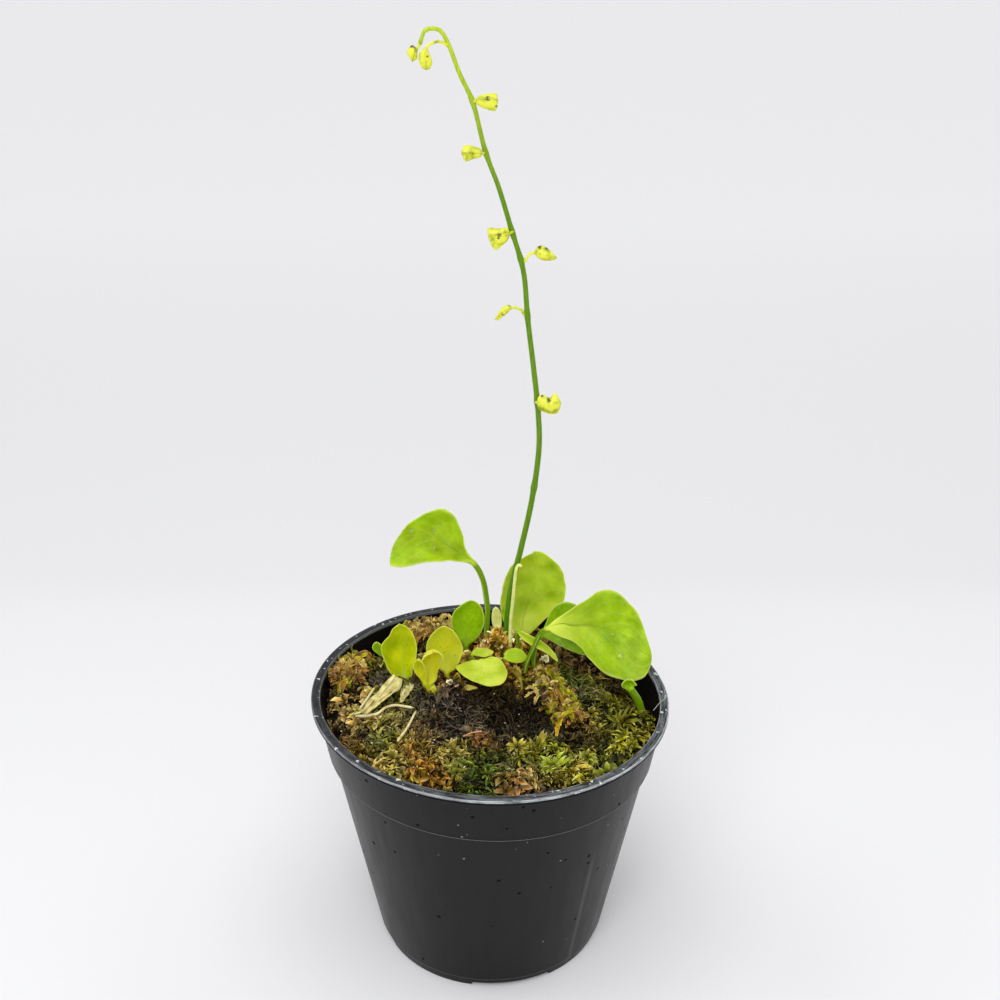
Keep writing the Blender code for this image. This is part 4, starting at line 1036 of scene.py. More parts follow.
def quartz_grit():
    """Pale grains: a little glossy, each tinted by its place."""
    made, tree, shader = shaded("quartz_grit")
    place = add(tree, "ShaderNodeTexCoord").outputs["Object"]
    shade = add(tree, "ShaderNodeTexNoise", {"Vector": place, "Scale": per_mm(3)})
    amount = {"Value": shade.outputs["Fac"], "From Min": 0.4, "From Max": 0.6}
    amount = add(tree, "ShaderNodeMapRange", amount)
    base = {0: amount.outputs[0], 6: linear("#f4efe2"), 7: linear("#b9a67e")}
    base = add(tree, "ShaderNodeMix", base, data_type="RGBA")
    links = {"Base Color": base.outputs[2], "Roughness": 0.3}
    plug(tree, shader, links)
    return made


# ---------------------------------------------------------------- leaves


def on_blade(edges, s, t):
    """A point of a blade: s runs from its left edge (-1) over its rib (0) to its right edge (1)."""
    left, rib, right = (point_at(edge, t) for edge in edges)
    return rib + (right - left) * (s / 2) + ((left + right) / 2 - rib) * s * s


class Blade:
    """A spoon leaf's stem and blade, and the small forms of its surface."""

    def __init__(self, stem, left, rib, right, tip, stem_r, ripple=0.0, groove=0.25, curl=(0.0, 0.0)):
        self.path = smooth_path(stem, 40)
        self.stem_r, self.ripple, self.groove, self.curl = stem_r, ripple, groove, curl
        base, along = self.path[-1], direction_at(self.path, 1.0)
        self.across = Vector(right[0]) - Vector(left[0])
        side = upright(self.across, along) * stem_r
        before, tip = self.path[-8], Vector(tip)
        self.edges = (
            smooth_path([base - side, *left, tip], 80, before - side, right[-1]),
            smooth_path([base, *rib, tip], 80, before),
            smooth_path([base + side, *right, tip], 80, before + side, left[-1]),
        )
        self.facing = 1.0
        if self.normal(0.0, 0.5).dot(TOWARDS_VIEWER) < 0:
            self.facing = -1.0

    def normal(self, s, t):
        """The direction that the blade's front faces."""
        across = on_blade(self.edges, s + 0.05, t) - on_blade(self.edges, s - 0.05, t)
        along = on_blade(self.edges, s, t + 0.02) - on_blade(self.edges, s, t - 0.02)
        return across.cross(along).normalized() * self.facing

    def surface(self, s, t):
        """The middle of the blade at (s, t), with its ripples, rib groove and curled margins."""
        flat, normal = on_blade(self.edges, s, t), self.normal(s, t)
        grown = ease(t / 0.25)
        lift = self.ripple * noise.noise(flat / 4.5) * grown
        lift += 0.4 * self.ripple * noise.noise(flat / 1.7 + Vector((5, 0, 0))) * grown * abs(s)
        lift -= self.groove * near(s, 0.09) * grown * (1 - t)
        lift += self.curl[0 if s < 0 else 1] * abs(s) ** 3 * grown
        return flat + normal * lift, normal

    def half_thick(self, t, thin):
        return mix(self.stem_r, thin, ease(t / 0.22))


BLADE_SIDES, BLADE_ROWS, STEM_ROWS = 26, 62, 26
# The first point of a full blade_mesh that belongs to its blade and not to its stem.
BLADE_START = STEM_ROWS * 2 * BLADE_SIDES


def blade_mesh(name, blade, thickness, sides=BLADE_SIDES, rows=BLADE_ROWS, stem_rows=STEM_ROWS):
    """The closed skin of a spoon leaf. Its UV map runs across (0 to 1) and along the blade (0 to 1)."""
    rings, uvs = [], []
    steps = [-math.cos(math.pi * k / sides) for k in range(sides + 1)]
    loop = [(s, 1.0) for s in steps] + [(s, -1.0) for s in reversed(steps[1:-1])]
    for row in range(stem_rows):
        t = row / stem_rows
        centre, along = point_at(blade.path, t), direction_at(blade.path, t)
        side = upright(blade.across, along)
        front = along.cross(side) * -blade.facing
        outs = [math.sqrt(max(1 - s * s, 0.0)) * face for s, face in loop]
        rings.append([centre + (side * s + front * out) * blade.stem_r for (s, _), out in zip(loop, outs)])
        uvs.extend((0.5 + s / 2, (t - 1) * 0.5) for s, _ in loop)
    for row in range(rows + 1):
        t = 0.994 * row / rows
        half = blade.half_thick(t, thickness / 2)
        power = mix(0.5, 0.22, ease(t / 0.22))
        ring = []
        for s, face in loop:
            centre, normal = blade.surface(s, t)
            ring.append(centre + normal * (half * face * max(1 - s * s, 0.0) ** power))
            uvs.append((0.5 + s / 2, t))
        rings.append(ring)
    return skin_mesh(name, rings, uvs)


def planted_stem(foot, stem):
    """The route of a stem that stands in the moss at foot."""
    ground = Vector((*foot, moss_height(*foot)))
    lean = Vector(stem[0]) - ground
    lean.z = max(lean.z, 2 * lean.xy.length)
    return [ground - lean.normalized() * BURIED, ground, *stem]


LEAVES = {
    # foot in the moss, stem up to the blade, left edge, rib, right edge and tip of each spoon leaf
    "tall_spoon_leaf": dict(
        stem=[(-1.1, 21.6, 77), (-0.9, 21.8, 81), (-1.3, 22, 84.7), (-1.8, 22, 88.3), (-3, 22, 92),
            (-4.5, 22, 94.4)],
        left=[(-7.5, 19.8, 95.8), (-12, 18.4, 96.6), (-18, 17, 96.8), (-22.6, 16.6, 95.9),
            (-25.7, 17.2, 96.1)],
        rib=[(-8, 23, 96.6), (-11, 23.6, 98.6), (-14, 23.6, 100.4), (-18, 23, 101.6), (-22.5, 21.4, 101)],
        right=[(-5.8, 21.8, 97), (-7.2, 22, 101), (-8.2, 22.2, 105.4), (-10, 22.5, 108.6), (-13, 23, 109.4),
            (-18.2, 23, 107.4), (-22.4, 22.4, 104), (-25, 21, 100.5)],
        foot=(-1.3, 21.5), tip=(-25.8, 19, 98), stem_r=0.75, ripple=0.5,
    ),
    "back_leaf": dict(
        stem=[(8.1, 26, 67.8), (8.4, 26.4, 69)],
        left=[(5, 25, 72), (2.4, 25, 76), (1.7, 25, 81), (1.9, 25.4, 84), (2.7, 26, 87.6),
            (4.8, 26.8, 91.6), (7.9, 27.5, 94)],
        rib=[(8.6, 28, 74), (9.6, 28.6, 78), (11, 29, 83), (12.4, 28.6, 89)],
        right=[(11.4, 26.5, 71.6), (14, 26.5, 74.5), (17.5, 26.5, 78), (19.7, 26.5, 81), (20, 26.5, 84.6),
            (19.4, 26.8, 88.5), (17.7, 27, 91.6), (15, 27.6, 93.9)],
        foot=(8.0, 25.8), tip=(11.4, 28, 95), stem_r=0.9, ripple=0.7, curl=(1.2, 0.0),
    ),
    "broad_right_leaf": dict(
        stem=[(9.2, 11.8, 69.4), (9.9, 11, 72.4), (10.9, 10, 75.6), (11.9, 9.2, 78.8), (12.9, 8.6, 81.4),
            (14.4, 8.2, 82.6)],
        left=[(17.4, 9.4, 85.2), (21.4, 10.4, 87.8), (24.8, 11.2, 89.8), (27.1, 12, 91.3),
            (29.7, 12.3, 91.8), (32, 12.2, 91.2), (34.3, 11.8, 89.5), (37.7, 10.4, 85.7), (40, 8, 80)],
        rib=[(18, 9, 83.6), (21, 9.2, 83), (26, 9.6, 82.6), (33.6, 8.6, 80.2), (38, 6.4, 77.4)],
        right=[(16.2, 6.6, 82), (18.4, 6.2, 81.1), (20.4, 5.6, 80.5), (22.6, 5, 79.2), (24.8, 4.4, 76.2),
            (27.1, 3.6, 73.9), (30, 2.8, 72), (34, 2.4, 70.9), (37, 2.2, 70.9), (39.6, 2.8, 72.2)],
        foot=(9, 12.2), tip=(41.1, 5, 75.9), stem_r=0.6, ripple=0.5, groove=0.5,
    ),
    "under_right_leaf": dict(
        stem=[(11.2, 14.4, 70), (11.8, 14, 74), (13.2, 13.8, 77)],
        left=[(14.2, 14.2, 80.6), (15.6, 14.6, 84.4), (17.5, 15.2, 86), (20.2, 15.6, 86.4), (24, 15.4, 84)],
        rib=[(17, 13.5, 79.5), (21.5, 13, 79)],
        right=[(15.4, 12.4, 76.8), (18.2, 11.4, 75.6), (21.2, 10.8, 74.4), (25, 10.6, 73.6)],
        foot=(11.2, 14.6), tip=(28.5, 12.5, 77.5), stem_r=0.6, ripple=0.4,
    ),
    "folded_leaf": dict(
        stem=[(7.3, 16, 73), (6.9, 14.8, 77), (7.2, 13.2, 79)],
        left=[(9.7, 12.2, 78.6), (12.9, 11.5, 77.1), (15.1, 11.2, 75.4), (16.8, 10.7, 73.7)],
        rib=[(9.4, 12.8, 77.4), (12.2, 12.1, 76), (14.6, 11.3, 74.5)],
        right=[(8.2, 11.6, 77.6), (10, 11, 76.6), (12.2, 10.5, 75.5), (14.7, 10.1, 74.1)],
        foot=(7.4, 16.4), tip=(17.4, 9.8, 71.8), stem_r=0.45, ripple=0.2,
    ),
    "uncurling_shoot": dict(
        stem=[(37.4, -1, 67), (36.2, -1, 69), (35.2, -1, 70.6)],
        left=[(33.4, -1.8, 72)],
        rib=[(34.9, 0, 71.8)],
        right=[(36.4, -1.6, 71.6)],
        foot=(38.2, -1), tip=(34.9, -1.2, 73), stem_r=0.95, curl=(-0.5, -0.5),
    ),
    "rear_round_leaf": dict(
        stem=[(-6.6, 19.7, 70), (-6.6, 19.8, 71)],
        left=[(-9.2, 19.6, 73.8), (-10.2, 19.4, 76.4), (-10.5, 19.4, 79.4), (-9.2, 19.8, 82)],
        rib=[(-6.4, 20.8, 74.4), (-6.1, 21.5, 77.4), (-5.8, 21.7, 80.6)],
        right=[(-4.2, 19.8, 72.6), (-2.6, 19.5, 75), (-1.8, 19.2, 78), (-1.9, 19.4, 81.2), (-2.9, 20, 83.1)],
        foot=(-6.6, 19.6), tip=(-5.4, 21, 83.8), stem_r=0.7, ripple=0.25,
    ),
    "round_left_leaf": dict(
        stem=[(-21.6, 5.1, 69), (-21.7, 5, 69.6)],
        left=[(-25.2, 4.2, 71), (-27, 3.4, 74), (-28, 3, 77.8), (-28.2, 2.8, 80.6), (-27.6, 3.6, 82),
            (-26.3, 4.8, 83), (-25.6, 5.6, 84), (-24.6, 6.4, 84.6)],
        rib=[(-22, 6.2, 71.6), (-22.8, 7.2, 74.4), (-23.3, 7.8, 78.4), (-23.2, 7.8, 81.6)],
        right=[(-20.2, 4.6, 70.6), (-19.4, 4.6, 73.6), (-18.6, 5, 76.6), (-18.5, 5.4, 79.2),
            (-19.2, 6, 81.8), (-20.2, 6.4, 83.4), (-21.6, 6.8, 84.5)],
        foot=(-21.4, 5.2), tip=(-23.2, 7, 84.7), stem_r=0.7, ripple=0.3, curl=(0.9, 0.3),
    ),
    "round_middle_leaf": dict(
        stem=[(-11.4, 10.1, 67.8), (-11.4, 10, 68.4)],
        left=[(-13.2, 9.6, 69.6), (-15, 9, 71.6), (-16.3, 8.8, 74.1), (-16.8, 8.8, 76.6),
            (-16.4, 9.2, 78.7), (-15.2, 10, 80.4), (-13.8, 10.8, 81.3)],
        rib=[(-11.7, 10.9, 70.4), (-11.9, 11.8, 73.2), (-12.1, 12.2, 77)],
        right=[(-9.2, 9.6, 69.8), (-8, 9, 72.2), (-7.1, 9, 75), (-7.2, 9.2, 77.1), (-8, 9.8, 79.1),
            (-9.2, 10.4, 80.6), (-10.6, 11, 81.4)],
        foot=(-11.4, 10.2), tip=(-12.2, 11.2, 81.7), stem_r=0.7, ripple=0.25, curl=(0.3, 0.3),
    ),
    "trumpet_leaf": dict(
        stem=[(-15.8, 0.6, 69.8), (-16, 0.5, 70.3)],
        left=[(-17.6, 0.2, 72.4), (-17.8, -0.2, 75), (-18, -0.8, 77.6), (-17.4, -1.2, 79.8),
            (-16.2, -0.8, 80.9)],
        rib=[(-15.6, 1.6, 73.6), (-15.4, 2.8, 76), (-14.8, 2.6, 79)],
        right=[(-13.3, 0.2, 72.6), (-13, 0.2, 74.6), (-12.2, -0.2, 76.6), (-11.4, -0.6, 78.4),
            (-11.6, -0.4, 80), (-12.8, 0, 80.9)],
        foot=(-15, 0.6), tip=(-14.4, 0, 81.2), stem_r=1.1, ripple=0.25, curl=(0.9, 0.6),
    ),
    "trumpet_fold": dict(
        stem=[(-16, -0.4, 70), (-16.4, -0.8, 72)],
        left=[(-17.9, -1.4, 73.7), (-19.1, -1.5, 75.6), (-19.4, -1.5, 77.4), (-18.9, -1.5, 78.8)],
        rib=[(-17, -0.5, 74), (-17.6, -0.3, 76.4)],
        right=[(-16.2, -1.6, 74), (-16.5, -1.7, 76.4), (-17.1, -1.7, 78.3)],
        foot=(-15.8, -0.2), tip=(-18.2, -1.5, 79.3), stem_r=0.7, ripple=0.15, curl=(0.2, -0.3),
    ),
    "hidden_left_leaf": dict(
        stem=[(-24.6, 9.2, 70), (-25.8, 9, 73)],
        left=[(-28.6, 8.2, 74.8), (-30.4, 8, 77)],
        rib=[(-28, 8.8, 75.8)],
        right=[(-26.6, 8.4, 76.4)],
        foot=(-24.2, 9.3), tip=(-29.2, 8.3, 78.7), stem_r=0.4, ripple=0.2,
    ),
    "centre_leaf": dict(
        stem=[(-2.5, 11, 69.4), (-2.6, 11.4, 70.8), (-2.4, 10.9, 71.6)],
        left=[(-5, 10.4, 72), (-7.6, 9, 71.8), (-9.1, 7.2, 71.7), (-7.6, 5.2, 71.2), (-5.4, 3.2, 70.7),
            (-2.7, 1.6, 70.3)],
        rib=[(-2.4, 8.4, 71.1), (-1.6, 4.6, 70.6)],
        right=[(0, 11, 72.7), (2.1, 10.2, 72.7), (3.5, 8.4, 71.9), (4.3, 5, 71.3), (3.2, 2.2, 70.3)],
        foot=(-2.4, 10.2), tip=(0.1, 0.6, 70.1), stem_r=0.6, ripple=0.35, groove=0.15,
    ),
    "nodding_leaflet": dict(
        stem=[(-5.1, 13.3, 70.2), (-4.9, 13.2, 72)],
        left=[(-4, 14, 73.2), (-1.6, 14, 73.4)],
        rib=[(-3, 13.1, 72.7), (-1, 12.9, 72.6)],
        right=[(-3.4, 12.3, 72), (-1.2, 12.1, 71.9)],
        foot=(-5.2, 13.4), tip=(0.8, 13, 72.9), stem_r=0.45, curl=(0.3, 0.3),
    ),
    "right_leaflet": dict(
        stem=[(3.4, 12.3, 70.7), (3.6, 12.2, 71.4)],
        left=[(3.6, 13.6, 72.4), (4.8, 14, 73.2), (6.6, 14.2, 73.4), (8.2, 13.9, 72.9)],
        rib=[(5, 12.6, 71.9), (7.2, 12.5, 71.8)],
        right=[(5, 10.9, 71.2), (7, 11, 70.8), (8.6, 11.8, 70.8)],
        foot=(3.4, 12.4), tip=(9.4, 13, 71.7), stem_r=0.5, ripple=0.2,
    ),
    "pale_sheath": dict(
        stem=[(1.7, 22.5, 74), (1.7, 22.5, 74.4)],
        left=[(0.5, 22.4, 75.4), (0.2, 22.4, 77.6), (0.3, 22.4, 79.6), (0.7, 22.4, 80.7)],
        rib=[(1.6, 22.9, 76), (1.5, 22.9, 78.5)],
        right=[(2.8, 22.4, 75.4), (2.8, 22.4, 77.6), (2.4, 22.4, 79.8), (1.9, 22.4, 80.7)],
        foot=(1.7, 22.5), tip=(1.3, 22.5, 81), stem_r=0.8,
    ),
    "old_left_leaflet": dict(
        stem=[(-8.6, 4.1, 68), (-8.6, 4, 68.8)],
        left=[(-9.4, 3.6, 70.4)],
        rib=[(-8.6, 4.3, 70.6)],
        right=[(-7.8, 3.6, 70.2)],
        foot=(-8.6, 4.2), tip=(-8.4, 3.8, 72.2), stem_r=0.45, ripple=0.3,
    ),
    "old_front_leaflet": dict(
        stem=[(-7.2, 2.3, 67.6), (-6.9, 2.2, 68.4)],
        left=[(-5.8, 2.5, 69.5)],
        rib=[(-5, 2, 69.1)],
        right=[(-5.4, 1.4, 68.6)],
        foot=(-7.4, 2.4), tip=(-3.2, 1.8, 69), stem_r=0.45, ripple=0.3,
    ),
    "old_right_leaflet": dict(
        stem=[(7.9, 7.2, 67), (7.6, 7.5, 68)],
        left=[(8.6, 7.8, 69.8), (7.8, 8.6, 71)],
        rib=[(7.2, 8.6, 69.4), (6.8, 9, 70.4)],
        right=[(6, 7.4, 68.8), (5.2, 8, 70)],
        foot=(8, 7), tip=(6, 8.9, 71.4), stem_r=0.4, ripple=0.4, curl=(1.2, 1.0),
    ),
}


YOUNG = ("round_left_leaf", "round_middle_leaf", "trumpet_leaf", "trumpet_fold")
OLD_LEAVES = ("old_left_leaflet", "old_front_leaflet", "old_right_leaflet")
# How far each leaf is turned yellow, lightened, deepened, dotted, paled about its base and ribbed.
# The lightening is dappled, and with the deepening it is also set leaf by leaf as painted light and painted
# shade for how each leaf is lit. The paling about the base is a painted reflection.
TONES = {
    "tall_spoon_leaf": (0.12, 0.06, 0.3, 0.1, 0.2, 0.5),
    "back_leaf": (0.2, 0.35, 0.0, 0.0, 0.6, 0.35),
    "broad_right_leaf": (0.08, 0.03, 0.2, 0.0, 0.9, 0.8),
    "under_right_leaf": (0.0, 0.0, 0.35, 0.0, 0.0, 0.4),
    "round_left_leaf": (0.1, 0.0, 0.25, 0.5, 0.0, 0.1),
    "round_middle_leaf": (0.5, 0.25, 0.0, 0.5, 0.3, 0.1),
    "trumpet_leaf": (0.95, 0.3, 0.0, 0.2, 0.0, 0.2),
    "trumpet_fold": (0.5, 0.1, 0.1, 0.2, 0.0, 0.2),
    "centre_leaf": (0.2, 0.5, 0.0, 0.4, 0.0, 0.2),
    "nodding_leaflet": (0.15, 0.4, 0.0, 0.0, 0.0, 0.1),
    "right_leaflet": (0.1, 0.15, 0.0, 0.0, 0.0, 0.1),
    "folded_leaf": (0.15, 0.45, 0.0, 0.0, 0.0, 0.3),
}
DEFAULT_TONE = (0.0, 0.0, 0.1, 0.0, 0.0, 0.15)
TONE_KEYS = ("gold", "dapple", "deepen", "speckle", "ribbed")


def toned(node, mesh):
    """Notes the leaf's tone on its points, with light and dark drifts over it, painted light and shade for how
    the leaf is lit and a painted reflection about its base; its stem is deep green.
    """
    gold, dapple, deepen, speckle, base_reflection, ribbed = TONES.get(node, DEFAULT_TONE)
    base = Vector(LEAVES[node]["stem"][-1])
    stem = 0.0 if node in YOUNG else 0.75
    rows = []
    for index, vert in enumerate(mesh.vertices):
        spot = vert.co / MM
        drift, patch = noise.noise(spot / 5.5), noise.noise(spot / 3.5)
        light = dapple * (1 + 1.2 * patch) + 0.1 * patch + base_reflection * near((spot - base).length, 5.0)
        row = (gold * (1 + drift), light, deepen * (1 + drift) - 0.4 * patch, speckle, ribbed)
        rows.append(row if index >= BLADE_START or not stem else (0, 0, stem, 0, 0))
    for key, values in zip(TONE_KEYS, zip(*rows)):
        note(mesh, **{key: [min(max(value, 0.0), 1.0) for value in values]})
    return mesh


def leaf_blade(node):
    """The Blade of one of LEAVES."""
    shape = dict(LEAVES[node])
    stem = planted_stem(shape.pop("foot"), shape.pop("stem"))
    return Blade(stem, **shape)


def living_leaf(name, light, deep):
    """A living leaf: satin, a little see-through, mottled light and deep, with faint veins and a pale rim.

    Each leaf's own tone is on its points: dapple and painted light lighten it, painted shade deepens it,
    gold turns it yellow, speckle dots it.
    """
    made, tree, shader = shaded(name)
    coords = add(tree, "ShaderNodeTexCoord").outputs
    spot, rim = coords["Object"], linear("#dcea7c")
    split = add(tree, "ShaderNodeSeparateXYZ", {0: coords["UV"]}).outputs
    across = {0: split["X"], 1: 2.0, 2: -1.0}
    across = add(tree, "ShaderNodeMath", across, operation="MULTIPLY_ADD").outputs[0]
    side = add(tree, "ShaderNodeMath", {0: across}, operation="ABSOLUTE").outputs[0]
    broad = {"Vector": spot, "Scale": per_mm(6), "Detail": 3.0}
    broad = add(tree, "ShaderNodeTexNoise", broad).outputs["Fac"]
    cells = {"Vector": spot, "Scale": per_mm(1.2), "Detail": 4.0}
    cells = add(tree, "ShaderNodeTexNoise", cells).outputs["Fac"]
    mottle = add(tree, "ShaderNodeMath", {0: broad, 1: cells}, operation="ADD").outputs[0]
    bend = {0: side, 1: -0.55, 2: split["Y"]}
    bend = add(tree, "ShaderNodeMath", bend, operation="MULTIPLY_ADD").outputs[0]
    bend = add(tree, "ShaderNodeCombineXYZ", {0: bend}).outputs[0]
    waves = {"Vector": bend, "Scale": 1.7, "Distortion": 1.6, "Detail": 1.5}
    waves = add(tree, "ShaderNodeTexWave", waves).outputs["Fac"]
    dots = add(tree, "ShaderNodeTexVoronoi", {"Vector": spot, "Scale": per_mm(1.9)}).outputs["Distance"]
    shares = {key: add(tree, "ShaderNodeAttribute", attribute_name=key).outputs["Fac"] for key in TONE_KEYS}
    for key, value, low, high, bottom, top in (
        ("mottled", mottle, 0.7, 1.35, 0.0, 0.85),
        ("veined", waves, 0.75, 1.0, 0.0, 0.08),
        ("rib", side, 0.02, 0.07, 1.0, 0.0),
        ("crease_shade", split["Y"], 0.5, 0.2, 0.0, 0.6),
        ("pale", split["Y"], 0.14, 0.04, 0.0, 0.45),
        ("margin", side, 0.93, 1.0, 0.0, 0.6),
        ("dotted", dots, 0.14, 0.07, 0.0, 1.0),
        ("rough", cells, 0.35, 0.65, 0.28, 0.44),
    ):
        ends = {"Value": value, "From Min": low, "From Max": high, "To Min": bottom, "To Max": top}
        shares[key] = add(tree, "ShaderNodeMapRange", ends).outputs[0]
    for key, other in (("rib", "ribbed"), ("crease_shade", "rib"), ("pale", "rib"), ("dotted", "speckle")):
        both = {0: shares[key], 1: shares[other]}
        shares[key] = add(tree, "ShaderNodeMath", both, operation="MULTIPLY").outputs[0]
    base = light
    # The rib is pale at the stem, sinks into a crease painted dark as painted shade, and fades towards the tip.
    for key, colour in (
        ("mottled", deep), ("deepen", linear("#5f8a04")), ("gold", linear("#e4da0a")),
        ("dapple", linear("#d9e858")), ("veined", rim), ("crease_shade", linear("#3f6a00")),
        ("pale", rim), ("margin", rim), ("dotted", linear("#5a6a10")),
    ):
        base = add(tree, "ShaderNodeMix", {0: shares[key], 6: base, 7: colour}, data_type="RGBA").outputs[2]
    height = cells
    for value, weight in ((waves, 0.35), (shares["rib"], -1.5)):
        links = {0: value, 1: weight, 2: height}
        height = add(tree, "ShaderNodeMath", links, operation="MULTIPLY_ADD").outputs[0]
    bump = add(tree, "ShaderNodeBump", {"Height": height, "Strength": 0.4, "Distance": 0.15 * MM})
    links = {
        "Base Color": base, "Roughness": shares["rough"], "Normal": bump.outputs[0],
        "Specular IOR Level": 0.13, "Subsurface Weight": 0.6, "Subsurface Radius": (0.8, 1.0, 0.1),
        "Subsurface Scale": 1.0 * MM,
    }
    plug(tree, shader, links)
    return made


def green_stalk(settings):
    """The scape's skin: satin, deep green at the foot and turning yellow towards the flowers."""
    made, tree, shader = shaded("scape_skin")
    place = add(tree, "ShaderNodeTexCoord").outputs["Object"]
    height = add(tree, "ShaderNodeSeparateXYZ", {0: place}).outputs["Z"]
    foot = add(tree, "ShaderNodeMapRange", {"Value": height, "From Min": 74 * MM, "From Max": 100 * MM})
    low = {0: foot.outputs[0], 6: linear("#4c8a0c"), 7: tuple(settings.scape_low)}
    low = add(tree, "ShaderNodeMix", low, data_type="RGBA")
    climb = add(tree, "ShaderNodeMapRange", {"Value": height, "From Min": 190 * MM, "From Max": 226 * MM})
    high = {0: climb.outputs[0], 6: low.outputs[2], 7: tuple(settings.scape_high)}
    base = add(tree, "ShaderNodeMix", high, data_type="RGBA")
    thin = add(tree, "ShaderNodeMapping", {"Vector": place, "Scale": (1, 1, 0.12)})
    streak = {"Vector": thin.outputs[0], "Scale": per_mm(0.5), "Detail": 3.0}
    streak = add(tree, "ShaderNodeTexNoise", streak)
    value = {"Value": streak.outputs["Fac"], "From Min": 0.3, "From Max": 0.7, "To Min": 0.8, "To Max": 1.2}
    value = add(tree, "ShaderNodeMapRange", value)
    streaked = add(tree, "ShaderNodeHueSaturation", {"Value": value.outputs[0], "Color": base.outputs[2]})
    bump = {"Height": streak.outputs["Fac"], "Strength": 0.3, "Distance": 0.08 * MM}
    bump = add(tree, "ShaderNodeBump", bump)
    links = {
        "Base Color": streaked.outputs[0], "Normal": bump.outputs[0], "Roughness": 0.42,
        "Specular IOR Level": 0.2, "Subsurface Weight": 0.2, "Subsurface Radius": (0.6, 1.0, 0.2),
        "Subsurface Scale": 0.5 * MM,
    }
    plug(tree, shader, links)
    return made


def old_tissue(name, light, dark, rough):
    """Dead or bleached growth: papery, streaked along its length, with brown blotches."""
    made, tree, shader = shaded(name)
    place = add(tree, "ShaderNodeTexCoord")
    blotch = {"Vector": place.outputs["Object"], "Scale": per_mm(1.8), "Detail": 5.0}
    blotch = add(tree, "ShaderNodeTexNoise", blotch)
    amount = {"Value": blotch.outputs["Fac"], "From Min": 0.42, "From Max": 0.72}
    amount = add(tree, "ShaderNodeMapRange", amount)
    base = add(tree, "ShaderNodeMix", {0: amount.outputs[0], 6: light, 7: dark}, data_type="RGBA")
    fibre = add(tree, "ShaderNodeMapping", {"Vector": place.outputs["UV"], "Scale": (9, 0.8, 1)})
    streak = add(tree, "ShaderNodeTexNoise", {"Vector": fibre.outputs[0], "Scale": 3.0, "Detail": 3.0})
    line = {"Value": streak.outputs["Fac"], "From Min": 0.54, "From Max": 0.68, "To Max": 0.5}
    line = add(tree, "ShaderNodeMapRange", line)
    lined = add(tree, "ShaderNodeMix", {0: line.outputs[0], 6: base.outputs[2], 7: dark}, data_type="RGBA")
    bump = {"Height": streak.outputs["Fac"], "Strength": 0.5, "Distance": 0.15 * MM}
    bump = add(tree, "ShaderNodeBump", bump)
    links = {
        "Base Color": lined.outputs[2], "Normal": bump.outputs[0], "Roughness": rough,
        "Subsurface Weight": 0.2, "Subsurface Radius": (1.0, 0.8, 0.4), "Subsurface Scale": 0.5 * MM,
    }
    plug(tree, shader, links)
    return made


# ---------------------------------------------------------------- scape and calyces

SCAPE_FOOT = (4.0, 19.8)
SCAPE_FOOT_R, SCAPE_TIP_R = 0.82, 0.46
SCAPE_ROUTE = [
    (4.4, 19.6, 80), (5.4, 19.5, 89), (7.8, 19.3, 100), (10.4, 18.7, 113.5), (12, 18.2, 127),
    (11.8, 18, 137), (10.5, 18, 149), (9, 18, 161), (7.9, 18, 172.5), (5, 18, 182.5), (2.1, 18, 192),
    (-0.9, 18, 200), (-3.6, 18, 210.5), (-6.4, 18, 216.5), (-8.7, 18, 222.5), (-10.4, 17.9, 225.5),
    (-12.2, 17.8, 226.1), (-14, 17.8, 225.6), (-15, 17.8, 223.2),
]
# Heights at which the scape swells a little: a scale leaf's scar and the feet of the calyx stalks.
SCAPE_NODES = (117.5, 140.5, 162.0, 175.5, 181.8, 199.7, 211.0)


def scape_mesh():
    path = smooth_path(planted_stem(SCAPE_FOOT, SCAPE_ROUTE), 260)

    def radius(t):
        z = point_at(path, t).z
        swell = sum(0.16 * near(z - node, 0.9) for node in SCAPE_NODES if t < 0.93)
        return mix(SCAPE_FOOT_R, SCAPE_TIP_R, t) + swell

    return tube_mesh("flower_scape_skin", path, radius, sides=14)


